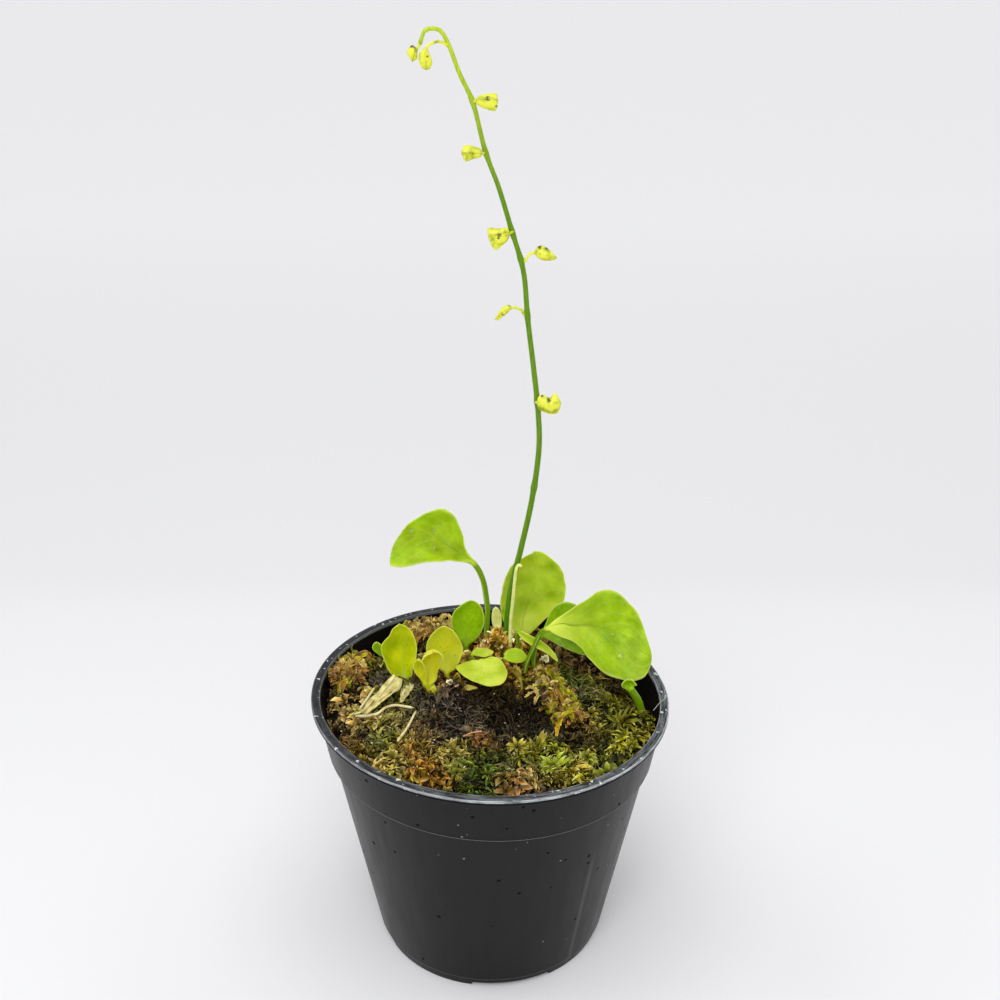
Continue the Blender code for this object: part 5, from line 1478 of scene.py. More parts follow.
# The stalk's route, the upper and lower edge, tip and depth of each pod, the turn of its seam in
# degrees about its length, and the (x, z, size) of each brown stain on it.
PODS = {
    "calyx_1": dict(
        stalk=[(11.9, 17.4, 141), (11.6, 16.6, 140.9), (11.2, 16, 140.8)],
        upper=[(11.8, 15.8, 142.4), (13.2, 15.6, 142.7), (14.4, 15.6, 142), (15.8, 15.6, 143.2)],
        lower=[(12, 15.8, 139), (14.5, 15.6, 138.1), (16.4, 15.6, 138.3)],
        tip=(17.3, 15.6, 140.8), depth=1.2, turn=25, stains=((14.2, 141.9, 0.9), (12.6, 142.8, 0.5)),
    ),
    "calyx_2": dict(
        stalk=[(8.6, 18, 161.6), (7.8, 17.9, 162.8), (7.4, 17.9, 163.4), (6.4, 17.7, 163.9),
            (5.3, 17.5, 164)],
        upper=[(4.4, 17.4, 164.7), (3, 17.2, 164.1), (1.9, 17, 162.8)],
        lower=[(4.2, 17.4, 162.7), (2.8, 17.2, 161.6), (1.9, 17, 161.1)],
        tip=(1.1, 17, 161.2), depth=0.9, turn=-15,
        stains=((3.0, 162.6, 0.35), (4.6, 164.7, 0.35), (4.0, 163.2, 0.3)),
    ),
    "calyx_3": dict(
        stalk=[(7.9, 18, 174.8), (8.7, 17.9, 175.8), (9, 17.9, 176.3), (9.6, 17.8, 176.9), (10.3, 17.6, 177)],
        upper=[(10.9, 17.4, 178.3), (12.2, 17.2, 178.7), (13.9, 17, 177.8)],
        lower=[(11.3, 17.4, 175.8), (12.8, 17.2, 175.3), (14.5, 17, 175.4)],
        tip=(15.7, 17, 176), depth=1.2, turn=35,
        stains=((11.6, 178.6, 0.7), (13.2, 178.3, 0.5), (13.2, 176.7, 0.25), (11.6, 177.2, 0.35)),
    ),
    "calyx_4": dict(
        stalk=[(5.4, 17.8, 182), (5.1, 17.2, 181.9), (4.8, 16.8, 181.8)],
        upper=[(4, 16.6, 183), (2, 16.6, 182.8), (-0.3, 16.6, 182.8)],
        lower=[(4.2, 16.6, 180.2), (2.9, 16.6, 178.9), (1.2, 16.6, 177.9)],
        tip=(-0.2, 16.6, 180.4), depth=1.0, turn=-30, stains=((2.2, 181.6, 0.8), (2.0, 180.8, 0.4)),
    ),
    "calyx_5": dict(
        stalk=[(-1, 18, 199.6), (-1.2, 17.7, 199.7), (-1.5, 17.5, 199.7)],
        upper=[(-2.2, 17.4, 200.7), (-4, 17.3, 201.4), (-5.8, 17.2, 201.3)],
        lower=[(-2, 17.4, 198.8), (-3.7, 17.3, 198.3), (-5.4, 17.2, 197.8)],
        tip=(-6.3, 17.2, 199.7), depth=1.2, turn=-10, stains=((-3.6, 199.8, 0.35), (-5.2, 200.6, 0.25)),
    ),
    "calyx_6": dict(
        stalk=[(-3.6, 18, 210.8), (-3.4, 17.7, 210.9), (-3.1, 17.5, 211)],
        upper=[(-2.4, 17.4, 212), (-0.4, 17.3, 212.5), (1.6, 17.2, 212.5)],
        lower=[(-2.4, 17.4, 210), (-0.7, 17.3, 209.2), (1.4, 17.2, 208.9)],
        tip=(2, 17.2, 210.6), depth=1.2, turn=-24, stains=((-0.3, 211.7, 0.7), (1.6, 210, 0.4)),
    ),
    "upper_tip_bud": dict(
        stalk=[(-15.0, 17.8, 223.2), (-15.4, 17.8, 222.4), (-15.8, 17.8, 221.9)],
        upper=[(-16.8, 17.8, 222.7), (-18, 17.6, 221.2)],
        lower=[(-15.6, 17.8, 221), (-15.7, 17.7, 219.9)],
        tip=(-16.8, 17.6, 219.2), depth=1.0, turn=10,
        stains=((-16.9, 222.6, 0.6), (-16.2, 222.4, 0.5), (-16.7, 219.2, 0.35)),
    ),
    "lower_tip_bud": dict(
        stalk=[(-9.0, 17.9, 222.6), (-9.9, 17.4, 223.2), (-11, 17, 223.5), (-12.4, 16.4, 223.2),
            (-13.5, 15.8, 222.5)],
        upper=[(-14.9, 15.5, 221.6), (-15.3, 15.4, 219.8), (-14.7, 15.4, 218.3)],
        lower=[(-12.8, 15.5, 221), (-12.2, 15.4, 219.4), (-12.7, 15.4, 218.1)],
        tip=(-13.7, 15.4, 217.7), depth=1.0, turn=0, stains=((-13.3, 220.6, 0.35), (-13.5, 219.4, 0.25)),
    ),
}


def sepal_mesh(edges, depth, turn, half, steps=24, sides=18):
    """Points, faces and uvs of one cupped sepal, with a lip along its seam. half is +1 above, -1 below."""
    outer, inner, uvs = [], [], []
    upper, lower = edges
    for row in range(steps + 1):
        t = 0.02 + 0.975 * row / steps
        top, low = point_at(upper, t), point_at(lower, t)
        centre = (top + low) / 2
        rise = (top - low) / 2
        swell = depth * max(math.sin(math.pi * t**0.75), 0.0) ** 0.55 + 0.12
        for k in range(sides + 1):
            share = 2 * k / sides - 1
            angle = math.radians(turn) + (0 if half > 0 else math.pi) + share * math.radians(96)
            lip = 1 + 0.1 * abs(share) ** 6 * ease(t * 3)
            if half > 0:
                lip += 0.07
            crease = 1 - 0.10 * near(share, 0.12) * ease(t * 2)
            out = rise * math.cos(angle) + FRONT * (swell * math.sin(angle))
            outer.append(centre + out * (lip * crease))
            inner.append(centre + out * (lip * crease - 0.16))
            uvs.append((abs(share), t))
    size, faces, back = sides + 1, [], len(outer)
    for row in range(steps):
        for k in range(sides):
            a = row * size + k
            b, c, d = a + 1, a + size + 1, a + size
            faces.append((a, b, c, d))
            faces.append((back + a, back + d, back + c, back + b))
    border = [*range(size), *[(row + 1) * size + sides for row in range(steps)]]
    border += [steps * size + k for k in range(sides - 1, -1, -1)]
    border += [row * size for row in range(steps - 1, 0, -1)]
    for a, b in zip(border, border[1:] + border[:1]):
        faces.append((a, back + a, back + b, b))
    return outer + inner, faces, uvs * 2


def pod_mesh(name, pod):
    """A calyx or bud: two cupped sepals on a thin curved stalk, with brown stains."""
    base, tip = Vector(pod["stalk"][-1]), pod["tip"]
    edges = [smooth_path([base, *pod[edge], tip], 60) for edge in ("upper", "lower")]
    meshes = [closed_mesh(name, *sepal_mesh(edges, pod["depth"], pod["turn"], half)) for half in (1, -1)]
    inward = (Vector(tip) - base).normalized() * 0.5
    path = smooth_path([*pod["stalk"], base + inward], 24)
    meshes.append(tube_mesh(name, path, lambda t: mix(STALK_R + 0.12, STALK_R, ease(t * 3))))
    mesh = join(name, meshes)
    stains = []
    for vert in mesh.vertices:
        x, y, z = vert.co / MM
        marks = [near(math.hypot(x - sx, z - sz), size * 0.6) for sx, sz, size in pod["stains"]]
        stains.append(max(marks) if y < tip[1] + 0.4 else 0.0)
    note(mesh, stain=stains)
    return mesh


def calyx_skin(settings):
    """The calyces' skin: thin, yellow and a little see-through, greener at the back, with painted shade in its
    creases and brown stains.
    """
    made, tree, shader = shaded("calyx_skin")
    found = add(tree, "ShaderNodeTexCoord")
    place = found.outputs["Object"]
    # Greener in drifts, and painted greener as painted shade along the seam and the crease of each sepal
    # and about its foot.
    shade = add(tree, "ShaderNodeTexNoise", {"Vector": place, "Scale": per_mm(1.6), "Detail": 3.0})
    across = add(tree, "ShaderNodeSeparateXYZ", {0: found.outputs["UV"]}).outputs
    seam = {"Value": across["X"], "From Min": 0.75, "From Max": 1.0, "To Max": 0.1}
    seam = add(tree, "ShaderNodeMapRange", seam)
    fold = {"Value": across["X"], "From Min": 0.14, "From Max": 0.0, "To Max": 0.05}
    fold = add(tree, "ShaderNodeMapRange", fold)
    sepal_crease_shade = add(tree, "ShaderNodeMath", {0: seam.outputs[0], 1: fold.outputs[0]}, operation="ADD")
    foot = {"Value": across["Y"], "From Min": 0.3, "From Max": 0.0, "To Max": 0.06}
    sepal_crease_shade = {0: sepal_crease_shade.outputs[0], 1: add(tree, "ShaderNodeMapRange", foot).outputs[0]}
    sepal_crease_shade = add(tree, "ShaderNodeMath", sepal_crease_shade, operation="ADD")
    shade = add(tree, "ShaderNodeMath", {0: shade.outputs["Fac"], 1: sepal_crease_shade.outputs[0]}, operation="ADD")
    greener = {"Value": shade.outputs[0], "From Min": 0.48, "From Max": 0.7}
    greener = add(tree, "ShaderNodeMapRange", greener)
    body = {0: greener.outputs[0], 6: tuple(settings.calyx), 7: linear("#a6b208")}
    body = add(tree, "ShaderNodeMix", body, data_type="RGBA")
    stain = add(tree, "ShaderNodeAttribute", attribute_name="stain").outputs["Fac"]
    ragged = add(tree, "ShaderNodeTexNoise", {"Vector": place, "Scale": per_mm(0.5), "Detail": 2.0})
    torn = add(tree, "ShaderNodeMath", {0: stain, 1: ragged.outputs["Fac"]}, operation="MULTIPLY")
    dark = add(tree, "ShaderNodeMapRange", {"Value": torn.outputs[0], "From Min": 0.18, "From Max": 0.42})
    base = {0: dark.outputs[0], 6: body.outputs[2], 7: linear("#4a3f08")}
    base = add(tree, "ShaderNodeMix", base, data_type="RGBA")
    bump = {"Height": ragged.outputs["Fac"], "Strength": 0.3, "Distance": 0.1 * MM}
    bump = add(tree, "ShaderNodeBump", bump)
    links = {
        "Base Color": base.outputs[2], "Normal": bump.outputs[0], "Roughness": 0.4,
        "Subsurface Weight": 0.3, "Subsurface Radius": (1.0, 1.0, 0.2), "Subsurface Scale": 0.6 * MM,
    }
    plug(tree, shader, links)
    return made


# ---------------------------------------------------------------- papery straps


def strap_mesh(name, places, widths, rolls, ruffled=0.6, cup=0.4, thick=0.2, rows=30, sides=8):
    """A thin closed strip along places, cupped and ruffled, with widths and rolls in degrees along it."""
    path = smooth_path(places, 50)
    rings, uvs, reach = [], [], []
    for row in range(rows + 1):
        t = row / rows
        along = direction_at(path, t)
        level = along.cross(UP) if abs(along.z) < 0.9 else Vector((1, 0, 0))
        side = Matrix.Rotation(math.radians(value_at(rolls, t)), 3, along) @ level.normalized()
        normal, half = side.cross(along), value_at(widths, t) / 2
        ring = []
        for s, face in strip_loop(sides):
            ruffle = ruffled * abs(s) * noise.noise(Vector((t * (4 + 3 * ruffled), 2 * s, places[0][0])))
            lift = half * (cup * (s * s - 0.4) + ruffle) + face * thick / 2 * math.sqrt(1 - 0.98 * s * s)
            ring.append(point_at(path, t) + side * (half * s) + normal * lift)
            uvs.append((0.5 + s / 2, t))
            # reach pales the strap's edges as a painted highlight and darkens its middle as painted shade.
            reach.append(0.4 + 0.5 * abs(s) ** 3)
        rings.append(ring)
    return skin_mesh(name, rings, uvs, reach=reach)


# ---------------------------------------------------------------- old growth

DRY_STALK_FOOT = (5.0, 16.6)
DRY_STALK_ROUTE = [
    (5.2, 16.6, 80), (5.7, 16.6, 86), (6.2, 16.6, 92), (6.6, 16.6, 95.4), (7.3, 16.6, 96.6),
    (7.8, 16.6, 96),
]
# A thin stem on the moss, made nearly black partly as painted shade for the shadow that lies along it.
DARK_RUNNER_FOOT = (-16.8, -2.0)
DARK_RUNNER_ROUTE = [
    (-16.4, -2.4, 71.4), (-18, -1.5, 71.4), (-19.7, -1, 72.2), (-21.5, -0.5, 73), (-23.3, 0.4, 73.2)
]
# Where the withered leaf stands, and its folded strips: places, widths and rolls of each.
WITHERED_FOOT = (-30.6, -4.6)
WITHERED = (
    ([(-31, -8, 67.6), (-28.4, -5, 69.2), (-25.2, -2.4, 70.8), (-22.6, 1.6, 72.2)],
     (0.9, 3.4, 6.6, 3.4), (10, 0, -15, -30)),
    ([(-28.8, -5.6, 69.6), (-26.8, -1.8, 71.4), (-24.2, 1.4, 73)], (0.5, 1.2, 0.8), (40, 30, 20)),
    ([(-22.2, -5.2, 69.2), (-21.2, -2.4, 70.4), (-19.8, 0.6, 71.2)], (1.0, 3.2, 1.8), (-20, -10, -10)),
    ([(-33.8, -8.4, 67.8), (-31.6, -8, 68.4), (-29.9, -5.4, 69.6), (-27.8, -3, 70.6)],
     (0.6, 0.8, 1.1, 0.8), (0, 10, 20, 20)),
)
# Places on the moss that each stolon lies along, and its radius.
STOLONS = {
    "long_stolon": (
        [(-33.6, -7.4), (-31, -7.4), (-28.2, -7.2), (-26.2, -5.6), (-23.8, -5.2), (-21.5, -6.2), (-19, -7)],
        0.42,
    ),
    "front_stolon": ([(-22.3, -19.3), (-20.4, -13.8), (-18.4, -8)], 0.36),
    "side_stolon": ([(-32.6, -6), (-31.4, -2), (-29.6, 2.5)], 0.34),
}


def stolon_mesh(name, places, radius):
    gap = LYING_GAP + (1.4 if name.startswith("side") else 0.2)
    path = smooth_path([(x, y, moss_height(x, y) + radius + gap) for x, y in places], 60)

    def thickness(t):
        knob = 0.12 * noise.noise(Vector((t * 9, radius * 20, 0)))
        return radius * mix(1.0, 0.75, t) * (1 + knob) * (ease(min(t, 1 - t) * 14) * 0.6 + 0.4)

    return tube_mesh(name, path, thickness)


# ---------------------------------------------------------------- loose dry moss

# Places on the moss that each lump lies along, its radius and which way it is wide.
LUMPS = {
    "dry_moss_clump": ([(13.6, 12.5), (15.4, 5), (17.4, -2), (20.5, -12)], 2.6, (1, 0, 0)),
    "rear_moss_clump": ([(-23.5, 28), (-18, 31), (-11, 31.5)], 2.6, (0, 1, 0)),
    "left_moss_clump": ([(-37, 4), (-37.2, 11), (-35.4, 17.5)], 2.6, (1, 0, 0)),
}
LUMP_FLATNESS = 0.62
# The large curled straps on each lump: colour, places, widths and rolls of each.
LUMP_STRAPS = {
    "dry_moss_clump": (
        ("olive", [(14.6, 10.5, 69.4), (16.7, 4, 69.8), (17.9, -1.7, 69.6), (19.1, -6.8, 69.4),
         (20.4, -13, 68.6)], (1.2, 2.0, 2.3, 2.0, 1.0), (20, 5, -10, -20, 0)),
        ("brown", [(14, 6, 69.6), (15.2, 0, 69.4), (16.4, -6, 69.4), (17.4, -13, 68.4)],
         (0.9, 1.9, 1.7, 1.2), (40, 60, 30, 60)),
        ("cream", [(13, 12.6, 71), (14.2, 12, 71.6), (14.8, 10.8, 71.2)], (1.6, 2.0, 0.8), (0, 20, 20)),
        ("umber", [(13, 4, 68.8), (13.6, -1, 69.4), (14.6, -6, 68.6)], (1.1, 2.4, 1.3), (0, 30, 0)),
        ("olive", [(15.8, 8, 70.2), (17.2, 3, 70.6), (18.6, -2.5, 70.2)], (0.6, 1.4, 0.6), (60, 50, 70)),
        ("brown", [(16.4, 2, 70.4), (17, -3, 70.4), (18.6, -8.5, 69.8)], (0.4, 0.9, 0.4), (20, 50, 10)),
        ("tan", [(12.4, -0.6, 68.8), (10.6, -1, 69.4), (8.6, -2, 68.6)], (0.7, 1.1, 0.4), (0, 20, 0)),
        ("tan", [(12.6, -1.2, 68.8), (11.6, -3, 69.2), (11, -5, 68.4)], (0.7, 1.1, 0.4), (20, 0, 0)),
        ("tan", [(12.2, 0.4, 68.8), (10.4, 1.4, 69.4), (8.8, 1.2, 69)], (0.7, 1, 0.4), (0, -20, 0)),
        ("amber", [(18.6, -10, 69), (16.8, -14, 69.2), (16, -18, 67.8)], (1.0, 1.7, 0.6), (0, 40, 0)),
    ),
    "rear_moss_clump": (
        ("olive", [(-25, 29, 68.6), (-24.4, 31.2, 70), (-22.2, 32.4, 70.6), (-20, 31.6, 70)],
         (1.0, 1.8, 2.0, 1.0), (30, 40, 30, 0)),
        ("tan", [(-22.8, 27, 68.6), (-21.6, 29.2, 70.4), (-19.8, 30.4, 70.8), (-18.4, 29, 69.8)],
         (1.0, 2.0, 2.2, 1.0), (20, 30, 40, 0)),
        ("brown", [(-20.6, 22.6, 68.4), (-20, 25.4, 70.4), (-17.8, 27, 70.8), (-15.6, 26, 69.4)],
         (0.9, 1.8, 2, 0.9), (0, 30, 30, 0)),
        ("tan", [(-16, 31.6, 69.6), (-13.6, 33, 70.8), (-11, 32.6, 70.2)], (0.8, 1.8, 0.8), (0, 30, 0)),
        ("olive", [(-17.6, 29.6, 70.2), (-16.4, 32, 71.2), (-13.8, 31.4, 70)], (0.8, 1.6, 0.8), (30, 30, 0)),
    ),
    "left_moss_clump": (
        ("olive", [(-38.4, 0.5, 68.2), (-39, 6, 69.4), (-38.8, 12, 69.9), (-37.4, 16.2, 70),
         (-35.2, 18.4, 69.4)], (1.2, 2.2, 2.4, 2.0, 1.0), (-50, -60, -50, -40, 0)),
        ("brown", [(-38, 1, 68.4), (-37.2, 4.6, 70), (-36.4, 8.6, 69.4)], (1.2, 2.2, 1.2), (0, 30, 0)),
        ("tan", [(-36.4, 3, 68.8), (-35.4, 7, 70), (-35.8, 11, 69.6)], (1.2, 2.2, 1.2), (0, -20, 20)),
        ("tan", [(-38.2, 8, 70), (-36.4, 10.4, 70.8), (-34.8, 13.4, 69.6)], (1.0, 2.0, 1.0), (0, 30, 0)),
    ),
}
LUMP_ROWS, LUMP_SIDES, LUMP_ROUGHNESS = 40, 22, 0.35
LUMP_STRIPS, LUMP_SCRAPS = 260, 46


def lump_rings(places, radius, across):
    """Rings of points over a lump of loose moss."""
    lift = LUMP_FLATNESS * radius + LYING_GAP
    path = smooth_path([(x, y, moss_height(x, y) + lift) for x, y in places], 60)
    rings = []
    for row in range(LUMP_ROWS + 1):
        t = row / LUMP_ROWS
        centre, along = point_at(path, t), direction_at(path, t)
        side = upright(Vector(across), along)
        normal = along.cross(side)
        width = radius * math.sin(math.pi * mix(0.05, 0.95, t)) ** 0.6
        ring = []
        for k in range(LUMP_SIDES):
            angle = 2 * math.pi * k / LUMP_SIDES
            out = side * math.cos(angle) + normal * math.sin(angle)
            out.z *= LUMP_FLATNESS
            crumple = 1 + LUMP_ROUGHNESS * noise.fractal((centre + out * radius) / 2.4, 0.8, 2.0, 3)
            ring.append(centre + out * (width * 0.85 * crumple))
        rings.append(ring)
    return rings


def middle(ring):
    return sum(ring, Vector()) / len(ring)


def ribbon(points, faces, reach, start, course, slope, length, width, pick):
    """Adds one thin papery strip with ruffled edges, from start on its course, arching over and down."""
    steps = 6
    first, place = len(points), start.copy()
    wave, swerve = pick.uniform(0, 6.28), pick.uniform(-0.5, 0.5)
    for k in range(steps + 1):
        t = k / steps
        outward, lean = heading(course + swerve * t), mix(slope, -0.5, t)
        along = outward * math.cos(lean) + UP * math.sin(lean)
        normal = UP * math.cos(lean) - outward * math.sin(lean)
        across = along.cross(normal)
        half = width * (0.35 + 0.65 * math.sin(math.pi * min(t * 0.8 + 0.15, 1.0))) / 2
        ruffle = width * 0.3
        left = place - across * half + normal * (ruffle * math.sin(wave + 5.5 * t))
        right = place + across * half + normal * (ruffle * math.cos(wave * 1.7 + 6.5 * t))
        points.extend([left, place - normal * (width * 0.16), right])
        # reach pales the strip's edges as a painted highlight and darkens its middle as painted shade.
        reach.extend([0.75, 0.35, 0.95])
        if k:
            a = first + 3 * k
            faces.extend([(a - 3, a - 2, a + 1, a), (a - 2, a - 1, a + 2, a + 1)])
        place = place + along * (length / steps)


# (x, y, spread, count, colours) of the papery scraps that lie about the leaves' bases.
LITTER = (
    (1.5, 19.0, 5.0, 96, ("amber", "amber", "tan", "brown", "cream")),
    (-3.0, 14.5, 3.0, 30, ("amber", "tan", "rust")),
    (-10.0, 4.0, 2.6, 36, ("amber", "brown", "tan", "cream")),
    (-13.5, 1.0, 2.0, 10, ("brown", "tan")),
    (9.0, 8.5, 2.6, 14, ("brown", "amber")),
)


def litter_mesh(palette, seed):
    """Small papery scraps heaped about the leaves' bases."""
    pick = random.Random(seed)
    points, faces, reach, tint, shades = [], [], [], [], []
    for cx, cy, spread, count, colours in LITTER:
        for _ in range(count):
            x, y = pick.gauss(cx, spread / 2), pick.gauss(cy, spread / 2)
            root = Vector((x, y, hummock_height(x, y) + pick.uniform(-0.2, 0.9)))
            before, size = len(points), pick.uniform(1.2, 3.2)
            course, slope = pick.uniform(0, 6.28), pick.uniform(0.2, 1.2)
            ribbon(points, faces, reach, root, course, slope, size, size * pick.uniform(0.35, 0.6), pick)
            added = len(points) - before
            tint.extend([pick.random()] * added)
            shades.extend([*palette[pick.choice(colours)][:3], 1.0] * added)
    mesh = open_mesh("leaf_litter", points, faces, reach=reach, tint=tint)
    paint(mesh, shades)
    return mesh


def ruffle_mesh(name, rings, seed):
    """Papery strips all over a lump, leaving it sideways and hanging down its flanks."""
    pick = random.Random(seed)
    points, faces, reach, tint = [], [], [], []
    for _ in range(LUMP_STRIPS):
        ring = rings[pick.randrange(1, len(rings) - 1)]
        root, centre = ring[pick.randrange(len(ring))], middle(ring)
        if root.z < centre.z - 0.3:
            continue
        away, before = root - centre, len(points)
        course = math.atan2(away.y, away.x) + pick.uniform(-1.2, 1.2)
        slope, length, width = pick.uniform(0.2, 1.3), pick.uniform(1.8, 4.2), pick.uniform(0.5, 1.5)
        ribbon(points, faces, reach, root, course, slope, length, width, pick)
        tint.extend([pick.random()] * (len(points) - before))
    return open_mesh(name, points, faces, reach=reach, tint=tint)


def curled_scraps(rings, colours, seed):
    """Small papery scraps that stand on a lump and curl over: a colour's name and a strap of each."""
    pick = random.Random(seed)
    found = []
    while len(found) < LUMP_SCRAPS:
        ring = rings[pick.randrange(2, len(rings) - 2)]
        root = ring[pick.randrange(len(ring))]
        if root.z < middle(ring).z + 0.2:
            continue
        course, size = pick.uniform(0, 2 * math.pi), pick.uniform(1.1, 2.0)
        slope, place, places = pick.uniform(0.7, 1.4), root - UP * 0.4, []
        for _ in range(5):
            places.append(tuple(place))
            place = place + (heading(course) * math.cos(slope) + UP * math.sin(slope)) * size * 0.8
            slope -= pick.uniform(0.5, 1.1)
            course += pick.uniform(-0.5, 0.5)
        roll = pick.uniform(-50, 50)
        widths = [size * wide for wide in (0.5, 0.9, 1.1, 0.9, 0.4)]
        form = dict(ruffled=1.2, cup=0.7, thick=0.16, rows=14, sides=4)
        strap = strap_mesh("scrap", places, widths, [roll, roll + 30], **form)
        found.append((pick.choice(colours), strap))
    return found


def lump_mesh(name, palette, colours, seed, finish):
    """A lump of dry moss: a crumpled core, tufts and papery strips all over it. colours run along it."""
    rings = lump_rings(*LUMPS[name])
    middles = [middle(ring) for ring in rings]

    def shade(mesh):
        """Gives each point the colour of its place along the lump."""
        shades = []
        for vert in mesh.vertices:
            spot = vert.co / MM
            nearest = min(range(len(middles)), key=lambda row: (middles[row] - spot).length_squared)
            row = nearest / (len(rings) - 1) * (len(colours) - 1)
            k = min(int(row), len(colours) - 2)
            near_colour, next_colour = (Vector(palette[colours[j]][:3]) for j in (k, k + 1))
            shades.extend((*near_colour.lerp(next_colour, row - k), 1.0))
        paint(mesh, shades)

    core = skin_mesh(name, rings)
    shade(core)
    note(core, mat=1.0)
    plan = dict(spacing=1.6, smallest=0.6, largest=1.0, tilt=60, seed=seed + 1)
    tufts = grow(f"{name}_tufts", core, "mat", finish, **plan)
    # A low reach paints the core dark, as painted shade under its tufts.
    note(core, reach=0.3, tint=0.5)
    ruffles = ruffle_mesh(f"{name}_strips", rings, seed + 2)
    shade(ruffles)
    straps = [
        (colour, strap_mesh(f"{name}_strap", *strap, ruffled=1.4)) for colour, *strap in LUMP_STRAPS[name]
    ]
    straps += curled_scraps(rings, [*colours, "tan"], seed + 3)
    for k, (colour, strap) in enumerate(straps):
        note(strap, tint=0.3 + 0.1 * (k % 5))
        paint(strap, (*palette[colour][:3], 1.0))
    mesh = join(f"{name}_heads", [core, tufts, ruffles, *[strap for _, strap in straps]])
    keep_in_pot(mesh)
    return mesh


# ---------------------------------------------------------------- drops and scraps

# (s, t) on each leaf and the radius of every drop of water there.
DROPS = {
    "tall_spoon_leaf": (
        (0.35, 0.72, 0.75), (0.28, 0.50, 0.62), (0.55, 0.46, 0.55), (-0.35, 0.45, 0.7),
        (-0.15, 0.55, 0.38), (0.10, 0.36, 0.46), (-0.70, 0.60, 0.35), (-0.62, 0.42, 0.32),
    ),
    "back_leaf": ((0.30, 0.45, 0.49), (0.45, 0.62, 0.41), (0.18, 0.30, 0.38)),
    "broad_right_leaf": (
        (0.05, 0.60, 0.54), (0.5, 0.68, 1.0), (-0.30, 0.45, 0.35), (-0.55, 0.60, 0.32), (0.30, 0.50, 0.32),
    ),
    "centre_leaf": ((0.10, 0.70, 0.3), (-0.30, 0.60, 0.27)),
    "round_left_leaf": ((0.35, 0.60, 0.3),),
    "round_middle_leaf": ((0.20, 0.55, 0.27),),
}
# How many tiny drops lie on the pot.
SMALL_DROPS = 90


def drop_mesh(places):
    """Small domes of water: (centre, normal, radius) each, flattened and sunk a little in what they wet."""
    bm = bmesh.new()
    for centre, normal, radius in places:
        turn = normal.to_track_quat("Z", "Y").to_matrix().to_4x4()
        form = Matrix.Translation(centre) @ turn @ Matrix.Diagonal((radius, radius, radius * 0.75, 1.0))
        bmesh.ops.create_uvsphere(bm, u_segments=14, v_segments=9, radius=1.0, matrix=form)
    bmesh.ops.scale(bm, vec=(MM, MM, MM), verts=bm.verts)
    mesh = from_bmesh("water_drops", bm)
    mesh.shade_smooth()
    return mesh


def clear_water():
    """Clean water: clear and glossy, seen by its bright edge and highlight."""
    made, tree, shader = shaded("clear_water")
    place = add(tree, "ShaderNodeTexCoord").outputs["Object"]
    wobble = add(tree, "ShaderNodeTexNoise", {"Vector": place, "Scale": per_mm(0.8)})
    bump = {"Height": wobble.outputs["Fac"], "Strength": 0.1, "Distance": 0.1 * MM}
    bump = add(tree, "ShaderNodeBump", bump)
    links = {
        "Base Color": linear("#fbfdf2"), "Roughness": 0.03, "IOR": 1.333, "Transmission Weight": 0.95,
        "Specular IOR Level": 1.0, "Normal": bump.outputs[0],
    }
    plug(tree, shader, links)
    return made


def scattered_drops(count, seed):
    """Tiny drops on the pot's rim and wall, most of them near the rim."""
    pick = random.Random(seed)
    found = []
    for k in range(count):
        radial = heading(pick.uniform(0, 2 * math.pi))
        if k % 2:
            place = radial * pick.uniform(RIM_R - 1.8, RIM_R - 0.5)
            place.z = POT_H - 0.12 + slant(place.x, place.y, POT_H)
            found.append((place, UP, pick.uniform(0.12, 0.26)))
        else:
            z = COLLAR_Z + 1.5 + 10 * pick.random() ** 2
            place = radial * (wall_r(z) + COLLAR_STEP - 0.02)
            place.z = z + slant(place.x, place.y, z)
            found.append((place, radial, pick.uniform(0.1, 0.2)))
    return found


# The points and radius of the pale hair on the rim, and of the twigs and loops on the moss.
HAIR = (
    [(40.6, -6.5, 67.6), (42.4, -4.4, 68.5), (43.9, -2.4, 68.5), (44.2, 0.5, 68.8), (44.6, 2.4, 68.7)],
    0.07,
)
TWIGS = (
    ([(-6.5, -17.2, 67.2), (-4.5, -16.6, 67.8), (-2.0, -15.6, 67.6)], 0.16),
    ([(-2.8, 15.6, 71.4), (-2.6, 15.2, 73.4), (-2.1, 15.2, 71.6)], 0.22),
    ([(-0.8, 16.4, 71.6), (-0.2, 15.8, 73.6), (-0.9, 15.4, 71.8)], 0.2),
    ([(26, 1.5, 67.6), (26.8, 0.6, 69), (27.6, 1.2, 68)], 0.14),
)

# ---------------------------------------------------------------- stage

# Name, kind, place, aim, energy and size of each lamp: a sun's angle in degrees, or an area's two sides.
LAMPS = (
    ("overhead", "SUN", (-20, -130, 600), (0, 0, 0), 1.05, (60,)),
    ("left_softbox", "SUN", (-500, 150, 330), (0, 0, 0), 0.52, (50,)),
    ("right_softbox", "SUN", (500, 250, 330), (0, 0, 0), 0.42, (50,)),
    ("front_fill", "AREA", (-60, -460, 420), (0, 0, 90), 1.4, (420, 260)),
)
CAMERA_PLACE, CAMERA_TILT = (2.4, -281.9, 246.1), math.radians(66.25)
FLOOR_RADIUS_M = 12.0


